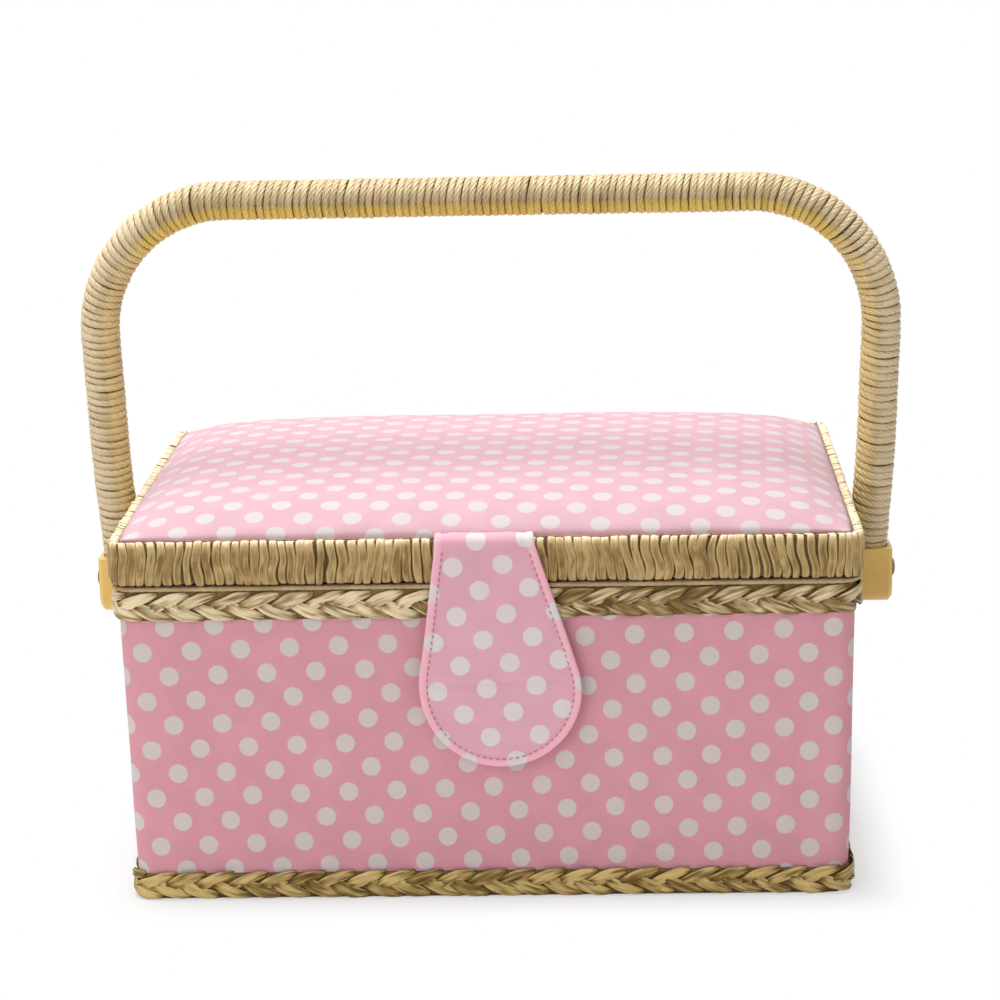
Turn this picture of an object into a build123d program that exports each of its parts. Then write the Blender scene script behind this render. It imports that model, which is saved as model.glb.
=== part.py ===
# Sewing box: a cloth-covered board box with a padded, hinged lid, a twine-wound lid rim, plaited trims,
# a cloth closing flap with a magnetic snap, a lift-out tray and a twine-wound carrying handle.
# Frame: +Z up, +X to the right, the front faces -Y, the origin is the centre of the underside. Millimetres.
from build123d import *

import os
from math import asin, cos, hypot, radians, sin

# Overall plan and heights
WIDTH = 306.4  # over the lid rim, left to right
DEPTH = 226.4  # over the lid rim, front to back
CORNER = 8.0  # outside corner radius of the lid rim, in plan
BASE_HEIGHT = 134.4  # floor to the base's top edge
SIDE_LEAN = 2.5  # each side of the base leans in by this much from the top edge to the floor
RIM_PROUD = 3.4  # the lid rim stands this far outside the base's cloth
TOUCH = 0.3  # gap between soft pieces that only just touch

# Layers of the base, from the outside in, and of its floor, from the bottom up
COVER = 0.8  # dotted cloth
PADDING = 2.2  # foam under the cloth
BOARD = 4.0  # wall board
LINING = 0.8  # satin lining
UNDER_CLOTH = 0.8  # cloth under the floor
FLOOR_BOARD = 4.0
FLOOR_PAD = 3.2
SMALLEST_CORNER = 0.6  # inner corners never get sharper than this

# Padded panels that stand inside the walls and carry the tray
PANEL = 4.5
PANEL_EDGE = 1.6  # rounding of a panel's top edges

# Plaited trims and the thin cord above the upper one
UPPER_BRAID = 12.1  # height
UPPER_BRAID_PROUD = 3.0
LOWER_BRAID = 11.6  # height
LOWER_BRAID_PROUD = 2.6
LOWER_BRAID_LOW = 0.4
BRAID_EDGE = 1.9  # bevel of a braid's outer edges
RIM_CORD = 1.9  # thickness of the cord
RIM_CORD_DROP = 0.5  # from the base's top edge down to the cord

# Lid rim: a board frame wound with twine
LID_GAP = 0.4  # between the base's top edge and the lid rim
RIM_HEIGHT = 18.3
RIM_CORE = 2.8  # frame board inside the winding
TWINE = 1.2  # depth of the winding on the frame
TWINE_CREST = 0.6  # how far each strand's round back stands out of the grooves
STRAND_PITCH = 3.88  # along the rim
STRAND_EDGE = 0.22  # share of a strand's width that each of its sides slopes over

# Lid board, its pad and the padded satin below it
LID_BOARD = 3.0
LID_BOARD_RISE = 8.0  # from the rim's lower edge to the board
LID_LINING = 4.0
LID_LINING_EDGE = 2.4
PAD_EDGE_DROP = 1.2  # the pad's edge starts this far below the rim's top
SHOULDER_RADIUS = 72.0
SHOULDER_EDGE_ANGLE = 37.0  # slope of the pad at the rim, degrees
SHOULDER_STEPS = 5  # flat steps that the shoulder is drawn in
PAD_CORNER = 5.0  # corner radius of the pad, in plan

# Hinges at the back
HINGE_SPREAD = 150.0  # centre to centre
HINGE_OUT = 2.4  # from the rim's back face to the pin
HINGE_LENGTH = 26.0
HINGE_LEAF = 1.0  # leaf thickness
LEAF_DEPTH = 12.6  # how far the base's leaf reaches in from the pin
LID_LEAF_DEPTH = 7.5  # how far the lid's leaf reaches in
KNUCKLE_RADIUS = 1.9
KNUCKLE_GAP = 0.35
PIN_RADIUS = 0.9
RUNNING = 0.05  # radial clearance on pins and rivets
SWEEP_CLEAR = 0.4  # room around a turning knuckle
HINGE_SCREW_RADIUS = 0.8
HINGE_SCREW_HEAD = 1.5
HINGE_SCREW_LENGTH = 8.0
HINGE_SCREW_SPREAD = 15.0
HINGE_SCREW_FLATS = 8  # flats that stand for a screw's round

# Closing flap
FLAP_TOP_WIDTH = 40.0
FLAP_ROUND = 33.0  # radius of the round lower end
FLAP_LENGTH = 93.2  # from the fold to the lower end
FLAP_THICK = 2.4
FLAP_CORE = 0.8
FLAP_SEAM = 3.5  # seam allowance round the stiffener
FLAP_FOLD_DROP = 1.8  # from the rim's top down to the fold line
SNAP_RADIUS = 7.0
SNAP_DROP = 11.0  # from the round's centre down to the snap

# Handle
PIVOT_DROP = 23.6  # from the base's top edge down to the rivets
LEG_OUT = 9.9  # from the rim's side face to the leg's centre, at the pivot
HANDLE_SPREAD = 7.6  # how much further out the leg's line is at the height of the top bar
BAR_RISE = 165.5  # from the rivets up to the centre of the top bar
BEND_RADIUS = 56.0
SPLAY_RADIUS = 120.0
SPLAY_RISE = 12.0  # from the pivot to where the leg starts to splay
KNEE_RISE = 50.0  # from the pivot to where the leg turns more upright again
KNEE_SPREAD = 3.2  # how much further out the leg's line is there
KNEE_RADIUS = 300.0
HANDLE_RADIUS = 8.7
HANDLE_CORE_RADIUS = 6.1
WINDING_FLATS = 16  # flats that stand for the winding's round outside, each about a strand wide
CORE_FLATS = 8  # the cane core is planed to this many flats, which grip the twine
LEG_END_DROP = 8.0  # wound leg below the pivot, inside the ferrule

# Ferrules, rivets and washers of the handle
FERRULE_WALL = 1.2
FERRULE_DEPTH = 21.0  # front to back
FERRULE_RISE = 10.2  # above the pivot
FERRULE_DROP = 14.4  # below the pivot
FERRULE_ROUND = 8.5  # lower corners, seen from the side
FERRULE_EDGE = 1.6
SOCKET_CLEAR = 0.1
RIVET_RADIUS = 1.6
RIVET_HEAD_RADIUS = 4.0
RIVET_HEAD = 1.7
RIVET_CROWN = 0.6  # share of the head's radius where its slope gets shallow
WASHER_RADIUS = 7.0

# Lift-out tray
TRAY_HEIGHT = 30.0
TRAY_SINK = 4.7  # from the base's top edge down to the tray's top
TRAY_CLEAR = 2.6  # between the tray's wall and the lining
TRAY_WALL = 1.6
TRAY_FLOOR = 1.8
TRAY_CORNER = 6.0
TRAY_LIP = 1.2
TRAY_FRONT_POCKET = 62.0  # front to back
TRAY_BACK_POCKETS = 4
TRAY_DRAFT = 1.0  # degrees
FINGER_NOTCH = 10.0

# Places that follow from the sizes
BOARD_IN = COVER + PADDING
LINING_IN = BOARD_IN + BOARD
WELL_IN = LINING_IN + LINING
FLOOR_TOP = UNDER_CLOTH + FLOOR_BOARD
WELL_FLOOR = FLOOR_TOP + FLOOR_PAD
UPPER_BRAID_HIGH = BASE_HEIGHT - RIM_CORD_DROP - RIM_CORD
UPPER_BRAID_LOW = UPPER_BRAID_HIGH - UPPER_BRAID
PIVOT_Z = BASE_HEIGHT - PIVOT_DROP
BAR_Z = PIVOT_Z + BAR_RISE
LID_LOW = BASE_HEIGHT + LID_GAP
LID_HIGH = LID_LOW + RIM_HEIGHT
RIM_THICK = 2 * TWINE + RIM_CORE
BOARD_LOW = LID_LOW + LID_BOARD_RISE
BOARD_HIGH = BOARD_LOW + LID_BOARD
PAD_EDGE_Z = LID_HIGH - PAD_EDGE_DROP
HINGE_Y = DEPTH / 2 + HINGE_OUT
HINGE_Z = BASE_HEIGHT + LID_GAP / 2
LEG_X = WIDTH / 2 + LEG_OUT
FERRULE_HALF = HANDLE_RADIUS + SOCKET_CLEAR + FERRULE_WALL
FERRULE_OUTER = LEG_X + FERRULE_HALF
FERRULE_INNER = LEG_X - FERRULE_HALF
TRAY_TOP = BASE_HEIGHT - TRAY_SINK
TRAY_Z = TRAY_TOP - TRAY_HEIGHT
PANEL_TOP = TRAY_Z - TOUCH
FOLD_Z = LID_HIGH - FLAP_FOLD_DROP
FOLD_Y = DEPTH / 2 + TOUCH + FLAP_THICK / 2
FLAP_ROUND_Z = FOLD_Z - FLAP_LENGTH + FLAP_ROUND
SNAP_Z = FLAP_ROUND_Z - SNAP_DROP
SIDES = (("left", -1), ("right", 1))


def lean_at(height):
    """How far the base's cloth lies inside the lid rim's face at a height."""
    return RIM_PROUD + SIDE_LEAN * (BASE_HEIGHT - height) / BASE_HEIGHT


def rounded_plan(inset):
    """The lid rim's plan, taken in by an inset."""
    return RectangleRounded(WIDTH - 2 * inset, DEPTH - 2 * inset, max(CORNER - inset, SMALLEST_CORNER))


def upright_block(low, high, inset):
    """A straight block of the lid rim's plan."""
    return extrude(Pos(0, 0, low) * rounded_plan(inset), high - low)


def leaning_plan(height, inset, corner_inset):
    """The base's plan at a height, taken in from the cloth's face."""
    shrink = lean_at(height) + inset
    corner = max(CORNER - corner_inset, SMALLEST_CORNER)
    return Pos(0, 0, height) * RectangleRounded(WIDTH - 2 * shrink, DEPTH - 2 * shrink, corner)


def leaning_block(low, high, inset):
    """A block with the base's leaning sides, taken in from the cloth's face."""
    return loft([leaning_plan(low, inset, inset), leaning_plan(high, inset, inset)], ruled=True)


def leaning_ring(low, high, outer, inner):
    """A leaning wall between two insets."""
    return leaning_block(low, high, outer) - leaning_block(low, high, inner)


def rod_x(radius, start, end, y, z):
    """A round rod along X."""
    return Pos((start + end) / 2, y, z) * Rot(0, 90, 0) * Cylinder(radius, abs(end - start))


def hinge_places():
    """The X of each hinge's centre."""
    return (-HINGE_SPREAD / 2, HINGE_SPREAD / 2)


def hinge_sweep():
    """Room for the hinge barrels to turn in, cut from the base's trims."""
    room = KNUCKLE_RADIUS + SWEEP_CLEAR
    half = HINGE_LENGTH / 2 + SWEEP_CLEAR
    return [rod_x(room, x - half, x + half, HINGE_Y, HINGE_Z) for x in hinge_places()]


def leaf_seats(low, high, grow, reach=LEAF_DEPTH):
    """Blocks that cut the recess of each hinge leaf."""
    length = HINGE_LENGTH + 2 * grow
    depth = reach + grow
    return [
        Pos(x, HINGE_Y - depth / 2, (low + high) / 2) * Box(length, depth, high - low)
        for x in hinge_places()
    ]


def screw_places(way):
    """X and Y of every hinge screw: in the middle of the rim's frame (way +1) or of the wall board (way -1)."""
    y = DEPTH / 2 - (TWINE + RIM_CORE / 2 if way > 0 else RIM_PROUD + (BOARD_IN + LINING_IN) / 2)
    return [(x + side * HINGE_SCREW_SPREAD / 2, y) for x in hinge_places() for side in (-1, 1)]


def hinge_screw(x, y, face, way):
    """A countersunk screw whose head is flush with a leaf's face at a height; way is +1 when it points up."""
    cone = HINGE_SCREW_HEAD - HINGE_SCREW_RADIUS
    head = extrude(RegularPolygon(HINGE_SCREW_HEAD, HINGE_SCREW_FLATS), cone, taper=45)
    screw = head + extrude(RegularPolygon(HINGE_SCREW_RADIUS, HINGE_SCREW_FLATS), HINGE_SCREW_LENGTH)
    return Pos(x, y, face) * (screw if way > 0 else Rot(180, 0, 0) * screw)


def screws(face, way):
    """The screws of both hinges on one side of the split."""
    return [hinge_screw(x, y, face, way) for x, y in screw_places(way)]


def rivet_tail():
    """Distance from the centre plane to the clenched end of a rivet, just behind the lining."""
    return WIDTH / 2 - lean_at(PIVOT_Z + RIVET_RADIUS) - LINING_IN


def rivet(side):
    """The rivet a handle end turns on: domed head outside, shank through ferrule, washer and wall."""
    face = FERRULE_OUTER + TOUCH
    profile = Polyline(
        (0, rivet_tail()), (RIVET_RADIUS, rivet_tail()), (RIVET_RADIUS, face), (RIVET_HEAD_RADIUS, face),
        (RIVET_HEAD_RADIUS, face + RIVET_HEAD / 4), (RIVET_HEAD_RADIUS * RIVET_CROWN, face + RIVET_HEAD * 5 / 6),
        (0, face + RIVET_HEAD), close=True,
    )
    turned = revolve(Plane.XZ * make_face(profile), Axis.Z)
    return Pos(0, 0, PIVOT_Z) * Rot(0, 90 * side, 0) * turned


def washer(side):
    """The spacer between the base's side and the ferrule."""
    wall = WIDTH / 2 - lean_at(PIVOT_Z + WASHER_RADIUS)
    ring = rod_x(WASHER_RADIUS, side * wall, side * (FERRULE_INNER - TOUCH), 0, PIVOT_Z)
    return ring - rod_x(RIVET_RADIUS, side * (wall - 1), side * FERRULE_INNER, 0, PIVOT_Z)


def rivet_holes(clearance):
    """Round holes for both rivets, right through the object."""
    reach = FERRULE_OUTER + RIVET_HEAD
    return rod_x(RIVET_RADIUS + clearance, -reach, reach, 0, PIVOT_Z)


def base_cover():
    """The dotted cloth: round the walls and over their top edge."""
    wall = leaning_ring(UNDER_CLOTH, BASE_HEIGHT, 0, COVER)
    top_turn = leaning_ring(BASE_HEIGHT - COVER, BASE_HEIGHT, COVER, LINING_IN)
    cloth = wall + top_turn
    return cloth - leaf_seats(BASE_HEIGHT - HINGE_LEAF, BASE_HEIGHT, TOUCH) - rivet_holes(0)


def base_padding():
    """Foam between the cloth and the wall board."""
    foam = leaning_ring(UNDER_CLOTH, BASE_HEIGHT - COVER, COVER, BOARD_IN)
    return foam - leaf_seats(BASE_HEIGHT - HINGE_LEAF, BASE_HEIGHT, TOUCH) - rivet_holes(0)


def base_walls():
    """The wall board, bent round the corners into one ring."""
    ring = leaning_ring(UNDER_CLOTH, BASE_HEIGHT - COVER, BOARD_IN, LINING_IN)
    ring = ring - leaf_seats(BASE_HEIGHT - HINGE_LEAF, BASE_HEIGHT, TOUCH)
    return ring - rivet_holes(0) - screws(BASE_HEIGHT, -1)


def base_lining():
    """Thin satin over the inside of the walls."""
    return leaning_ring(FLOOR_TOP, BASE_HEIGHT, LINING_IN, WELL_IN)


def floor_board():
    return leaning_block(UNDER_CLOTH, FLOOR_TOP, LINING_IN)


def under_cloth():
    """The cloth that closes the underside, out to the walls' own cloth."""
    return leaning_block(0, UNDER_CLOTH, 0)


def floor_pad():
    """The padded satin floor of the well."""
    return leaning_block(FLOOR_TOP, WELL_FLOOR, WELL_IN)


def panel(along_x, way):
    """One padded panel inside a wall; its outer face leans with the lining."""
    inner = WELL_IN + PANEL
    shell = leaning_ring(WELL_FLOOR, PANEL_TOP, WELL_IN, inner)
    side_cut = inner + lean_at(WELL_FLOOR) + TOUCH
    height = PANEL_TOP - WELL_FLOOR
    middle = (PANEL_TOP + WELL_FLOOR) / 2
    if along_x:
        keep = Box(WIDTH - 2 * side_cut, DEPTH, height)
        kept = shell & (Pos(0, way * DEPTH / 2, middle) * keep)
        edges = kept.faces().sort_by(Axis.Z)[-1].edges().filter_by(Axis.X)
    else:
        keep = Box(WIDTH, DEPTH - 2 * side_cut, height)
        kept = shell & (Pos(way * WIDTH / 2, 0, middle) * keep)
        edges = kept.faces().sort_by(Axis.Z)[-1].edges().filter_by(Axis.Y)
    return fillet(edges, PANEL_EDGE)


def trim_band(low, high, proud, edge):
    """A band round the base, proud of its cloth, with bevelled outer edges."""
    outline = ((low, proud - edge), (low + edge, proud), (high - edge, proud), (high, proud - edge))
    outer = loft([leaning_plan(z, -out, -proud) for z, out in outline], ruled=True)
    return outer - leaning_block(low, high, 0)


def upper_braid():
    """The plaited trim below the lid rim, as its outer shape."""
    return trim_band(UPPER_BRAID_LOW, UPPER_BRAID_HIGH, UPPER_BRAID_PROUD, BRAID_EDGE) - hinge_sweep()


def lower_braid():
    """The plaited trim round the foot, as its outer shape."""
    return trim_band(LOWER_BRAID_LOW, LOWER_BRAID_LOW + LOWER_BRAID, LOWER_BRAID_PROUD, BRAID_EDGE)


def rim_cord():
    """The thin cord that lies on the upper braid, under the lid rim."""
    cord = trim_band(UPPER_BRAID_HIGH, UPPER_BRAID_HIGH + RIM_CORD, RIM_CORD, RIM_CORD / 3)
    return cord - hinge_sweep() - leaf_seats(BASE_HEIGHT - HINGE_LEAF, BASE_HEIGHT, TOUCH)


def snap_base():
    """The snap's half on the base's front."""
    face = DEPTH / 2 - lean_at(SNAP_Z + SNAP_RADIUS)
    depth = (flap_back_y() - face - TOUCH) / 2
    return Pos(0, -face - depth / 2, SNAP_Z) * Rot(90, 0, 0) * Cylinder(SNAP_RADIUS, depth)


def snap_flap():
    """The snap's half on the flap's back."""
    face = DEPTH / 2 - lean_at(SNAP_Z + SNAP_RADIUS)
    depth = (flap_back_y() - face - TOUCH) / 2
    return Pos(0, -flap_back_y() + depth / 2, SNAP_Z) * Rot(90, 0, 0) * Cylinder(SNAP_RADIUS, depth)


def base_knuckle_spans(x):
    """The outer two knuckles of a hinge, which belong to the base's leaf."""
    third = HINGE_LENGTH / 3
    half = HINGE_LENGTH / 2
    return ((x - half, x - third / 2 - KNUCKLE_GAP / 2), (x + third / 2 + KNUCKLE_GAP / 2, x + half))


def lid_knuckle_span(x):
    third = HINGE_LENGTH / 3
    return (x - third / 2 + KNUCKLE_GAP / 2, x + third / 2 - KNUCKLE_GAP / 2)


def leaf(x, low, high, reach, own, other, screw_cut):
    """A hinge leaf: plate, its own knuckles and notches round the other leaf's."""
    plate = Pos(x, HINGE_Y - reach / 2, (low + high) / 2) * Box(HINGE_LENGTH, reach, high - low)
    room = KNUCKLE_RADIUS + SWEEP_CLEAR
    for start, end in other:
        plate -= rod_x(room, start - KNUCKLE_GAP, end + KNUCKLE_GAP, HINGE_Y, HINGE_Z)
    for start, end in own:
        plate += rod_x(KNUCKLE_RADIUS, start, end, HINGE_Y, HINGE_Z)
    bore = rod_x(PIN_RADIUS + RUNNING, x - HINGE_LENGTH, x + HINGE_LENGTH, HINGE_Y, HINGE_Z)
    return plate - bore - screw_cut


def base_leaf(x):
    return leaf(x, BASE_HEIGHT - HINGE_LEAF, BASE_HEIGHT, LEAF_DEPTH, base_knuckle_spans(x),
                [lid_knuckle_span(x)], screws(BASE_HEIGHT, -1))


def lid_leaf(x):
    return leaf(x, LID_LOW, LID_LOW + HINGE_LEAF, LID_LEAF_DEPTH, [lid_knuckle_span(x)],
                base_knuckle_spans(x), screws(LID_LOW, 1))


def hinge_pin(x):
    half = HINGE_LENGTH / 2 + TOUCH
    return rod_x(PIN_RADIUS, x - half, x + half, HINGE_Y, HINGE_Z)


def fluted_plan():
    """The rim's plan with one round-backed strand after another along its edge."""
    half_x = WIDTH / 2 - CORNER
    half_y = DEPTH / 2 - CORNER
    groove = CORNER - TWINE_CREST
    ends = []
    for sign_x, sign_y, start in ((1, 1, 0), (-1, 1, 90), (-1, -1, 180), (1, -1, 270)):
        count = max(round(radians(90) * CORNER / STRAND_PITCH), 1)
        centre = Vector(sign_x * half_x, sign_y * half_y)
        for i in range(count + 1):
            angle = start + 90 * i / count
            ends.append((centre, angle, groove))
    outline = []
    total = len(ends)
    for i in range(total):
        centre, angle, radius = ends[i]
        next_centre, next_angle, _ = ends[(i + 1) % total]
        a = centre + Vector(radius, 0).rotate(Axis.Z, angle)
        b = next_centre + Vector(radius, 0).rotate(Axis.Z, next_angle)
        run = (b - a).length
        count = max(round(run / STRAND_PITCH), 1)
        turn = (next_angle - angle) % 360
        out = Vector(1, 0).rotate(Axis.Z, angle + turn / 2)
        bulge = TWINE_CREST - (CORNER * (1 - cos(radians(turn / 2))) if turn else 0)
        for k in range(count):
            p = a + (b - a) * (k / count)
            q = a + (b - a) * ((k + 1) / count)
            back = (q - p) * STRAND_EDGE
            outline += [p, p + back + out * bulge, q - back + out * bulge]
    return make_face(Polyline(*outline, close=True))


def lid_frame():
    """The board frame inside the winding."""
    low = LID_LOW + TWINE
    high = LID_HIGH - TWINE
    frame = upright_block(low, high, TWINE) - upright_block(low, high, TWINE + RIM_CORE)
    return frame - screws(LID_LOW, 1)


def lid_wrap():
    """The twine winding of the rim, one strand beside the next right round it."""
    body = extrude(Pos(0, 0, LID_LOW) * fluted_plan(), RIM_HEIGHT) - upright_block(LID_LOW, LID_HIGH, RIM_THICK)
    low = LID_LOW + TWINE
    high = LID_HIGH - TWINE
    core = upright_block(low, high, TWINE) - upright_block(low, high, TWINE + RIM_CORE)
    body = body - core - leaf_seats(LID_LOW, LID_LOW + HINGE_LEAF, TOUCH, LID_LEAF_DEPTH)
    return body - screws(LID_LOW, 1)


def lid_board():
    return upright_block(BOARD_LOW, BOARD_HIGH, RIM_THICK)


def shoulder_section(angle, grow):
    """The pad's outline where its shoulder has a slope, moved outwards from the pad's face."""
    radius = SHOULDER_RADIUS + grow
    edge = radians(SHOULDER_EDGE_ANGLE)
    inset = RIM_THICK + COVER + SHOULDER_RADIUS * sin(edge) - radius * sin(angle)
    z = PAD_EDGE_Z - SHOULDER_RADIUS * cos(edge) + radius * cos(angle)
    return Pos(0, 0, z) * RectangleRounded(WIDTH - 2 * inset, DEPTH - 2 * inset, PAD_CORNER + grow)


def crown(grow):
    """The pad's crowned block on the lid board: upright sides, round shoulders and a level crown."""
    radius = SHOULDER_RADIUS + grow
    foot = asin((SHOULDER_RADIUS * sin(radians(SHOULDER_EDGE_ANGLE)) + grow) / radius)
    sections = [shoulder_section(foot * (1 - i / SHOULDER_STEPS), grow) for i in range(SHOULDER_STEPS + 1)]
    lowest = sections[0]
    depth = lowest.center().Z - BOARD_HIGH
    return extrude(lowest, -depth) + loft(sections, ruled=True)


def lid_foam():
    return crown(0)


def lid_cover():
    """The dotted cloth over the pad, tucked down inside the rim."""
    return crown(COVER) - crown(0)


def lid_lining():
    """The padded satin on the lid's underside."""
    pad = upright_block(BOARD_LOW - LID_LINING, BOARD_LOW, RIM_THICK)
    return chamfer(pad.faces().sort_by(Axis.Z)[0].edges(), LID_LINING_EDGE)


def flap_back_y():
    """Distance from the centre plane to the flap's back where it hangs in front of the rim and the braid."""
    return DEPTH / 2 + max(UPPER_BRAID_PROUD - lean_at(UPPER_BRAID_HIGH), 0) + TOUCH


def flap_outline(inset):
    """The flap seen from the front: straight sides that spread into a round end."""
    top = FOLD_Z
    half = FLAP_TOP_WIDTH / 2 - inset
    radius = FLAP_ROUND - inset
    rise = top - FLAP_ROUND_Z
    reach = hypot(half, rise)
    touch = asin(half / reach) + radians(90) - asin(radius / reach)
    side = Vector(radius * sin(touch), FLAP_ROUND_Z + radius * cos(touch))
    lines = [
        Line((-half, top), (half, top)), Line((half, top), side),
        ThreePointArc(side, (0, FLAP_ROUND_Z - radius), (-side.X, side.Y)), Line((-side.X, side.Y), (-half, top)),
    ]
    return make_face([edge for line in lines for edge in line.edges()])


def flap_layer(back, front, inset):
    """A layer of the hanging flap between two depths measured from its back face."""
    slope_top = -(DEPTH / 2 + TOUCH)
    low = FLAP_ROUND_Z - FLAP_ROUND
    bend = UPPER_BRAID_HIGH
    points = [
        (slope_top - back, FOLD_Z), (-flap_back_y() - back, bend), (-flap_back_y() - back, low),
        (-flap_back_y() - front, low), (-flap_back_y() - front, bend), (slope_top - front, FOLD_Z),
    ]
    strip = extrude(Plane.YZ * make_face(Polyline(*points, close=True)), WIDTH / 4, both=True)
    shape = extrude(Plane.XZ * flap_outline(inset), DEPTH, both=True)
    return strip & shape


def fold_roll():
    """The round top of the flap, on its fold line."""
    half = FLAP_TOP_WIDTH / 2
    return rod_x(FLAP_THICK / 2, -half, half, -FOLD_Y, FOLD_Z)


def flap_face():
    """The flap's dotted front cloth with its turned seam."""
    back = (FLAP_THICK - FLAP_CORE) / 2
    whole = flap_layer(back, FLAP_THICK, 0) - flap_layer(back, back + FLAP_CORE, FLAP_SEAM)
    return whole - fold_roll()


def flap_core():
    """The stiffener inside the flap."""
    back = (FLAP_THICK - FLAP_CORE) / 2
    return flap_layer(back, back + FLAP_CORE, FLAP_SEAM) - fold_roll()


def flap_back():
    """The flap's plain back cloth, with the rolled top edge that hangs from the lid."""
    back = (FLAP_THICK - FLAP_CORE) / 2
    return flap_layer(0, back, 0) + fold_roll()


def flap_root():
    """The flap's tongue that lies on the rim and is sewn in under the pad's edge."""
    front = DEPTH / 2 + 2 * TOUCH
    back = DEPTH / 2 - RIM_THICK
    middle = (front + back) / 2
    tongue = Pos(0, -middle, LID_HIGH + FLAP_THICK / 2) * Box(FLAP_TOP_WIDTH, front - back, FLAP_THICK)
    nose = tongue.faces().sort_by(Axis.Y)[0].edges().filter_by(Axis.X).sort_by(Axis.Z)[-1]
    return fillet(nose, FLAP_THICK - TOUCH)


def handle_path():
    """Centre line of the wound handle, from one ferrule over the top to the other."""
    end = PIVOT_Z - LEG_END_DROP
    splay = PIVOT_Z + SPLAY_RISE
    top_x = LEG_X + HANDLE_SPREAD
    half = [(LEG_X, end), (LEG_X, splay), (LEG_X + KNEE_SPREAD, PIVOT_Z + KNEE_RISE), (top_x, BAR_Z)]
    points = [(-x, z) for x, z in half] + half[::-1]
    bends = [SPLAY_RADIUS, KNEE_RADIUS, BEND_RADIUS]
    flat = FilletPolyline(*points, radius=bends + bends[::-1])
    return Plane.XZ * flat


def handle_tube(radius, flats):
    """A rod along the handle's centre line."""
    path = handle_path()
    section = Plane(path @ 0, z_dir=path % 0) * RegularPolygon(radius, flats)
    return sweep(section, path=path)


def handle_core():
    return handle_tube(HANDLE_CORE_RADIUS, CORE_FLATS) - rivet_holes(RUNNING)


def handle_wrap():
    """The twine winding of the handle, as one sleeve."""
    sleeve = handle_tube(HANDLE_RADIUS, WINDING_FLATS) - handle_tube(HANDLE_CORE_RADIUS, CORE_FLATS)
    return sleeve - rivet_holes(RUNNING)


def ferrule(side):
    """The moulded plastic end cap: a socket for the wound leg, rounded below, bored for the rivet."""
    height = FERRULE_RISE + FERRULE_DROP
    middle = PIVOT_Z + (FERRULE_RISE - FERRULE_DROP) / 2
    block = Pos(side * LEG_X, 0, middle) * Box(2 * FERRULE_HALF, FERRULE_DEPTH, height)
    lower = block.edges().filter_by(Axis.X).group_by(Axis.Z)[0]
    block = fillet(lower, FERRULE_ROUND)
    outer = [e for e in block.edges() if abs(abs(e.center().X) - FERRULE_OUTER) < FERRULE_WALL / 2
             and e.center().Z < PIVOT_Z + FERRULE_RISE - FERRULE_WALL / 2]
    block = chamfer(outer, FERRULE_EDGE)
    depth = FERRULE_RISE + LEG_END_DROP + TOUCH
    socket = Pos(side * LEG_X, 0, PIVOT_Z + FERRULE_RISE - depth / 2) * Cylinder(HANDLE_RADIUS + SOCKET_CLEAR, depth)
    return block - socket - rivet_holes(RUNNING)


def tray_half_sizes(z):
    """Half width and half depth of the tray's wall at a height."""
    shrink = lean_at(TRAY_Z) + WELL_IN + TRAY_CLEAR - (z - TRAY_Z) * sin(radians(TRAY_DRAFT))
    return WIDTH / 2 - shrink, DEPTH / 2 - shrink


def tray_pockets():
    """Centre X, centre Y, width and depth of each pocket at the tray's floor."""
    half_x, half_y = tray_half_sizes(TRAY_Z)
    inner_x, inner_y = half_x - TRAY_WALL, half_y - TRAY_WALL
    pockets = [(0.0, -inner_y + TRAY_FRONT_POCKET / 2, 2 * inner_x, TRAY_FRONT_POCKET)]
    back_low = -inner_y + TRAY_FRONT_POCKET + 2 * TRAY_WALL
    back_depth = inner_y - back_low
    count = TRAY_BACK_POCKETS
    width = (2 * inner_x - 2 * TRAY_WALL * (count - 1)) / count
    for i in range(count):
        x = -inner_x + width / 2 + i * (width + 2 * TRAY_WALL)
        pockets.append((x, back_low + back_depth / 2, width, back_depth))
    return pockets


def drafted(x, y, low, high, width, depth, corner):
    """A block that widens upwards by the mould's draft; width and depth are those at its lower end."""
    grow = 2 * (high - low) * sin(radians(TRAY_DRAFT))
    return loft([
        Pos(x, y, low) * RectangleRounded(width, depth, corner),
        Pos(x, y, high) * RectangleRounded(width + grow, depth + grow, corner),
    ], ruled=True)


def tray():
    """The moulded tray: drafted walls, a lip, one long pocket in front and a row behind it."""
    half_x, half_y = tray_half_sizes(TRAY_Z)
    body = drafted(0, 0, TRAY_Z, TRAY_TOP, 2 * half_x, 2 * half_y, TRAY_CORNER)
    lip_x, lip_y = tray_half_sizes(TRAY_TOP)
    lip = RectangleRounded(2 * (lip_x + TRAY_LIP), 2 * (lip_y + TRAY_LIP), TRAY_CORNER + TRAY_LIP)
    body += extrude(Pos(0, 0, TRAY_TOP - TRAY_WALL) * lip, TRAY_WALL)
    for x, y, width, depth in tray_pockets():
        body -= drafted(x, y, TRAY_Z + TRAY_FLOOR, TRAY_TOP + TRAY_WALL, width, depth, TRAY_CORNER - TRAY_WALL)
    notch = rod_x(FINGER_NOTCH, -WIDTH / 2, WIDTH / 2, -half_y + TRAY_WALL + TRAY_FRONT_POCKET / 2, TRAY_TOP)
    return body - notch


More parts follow.
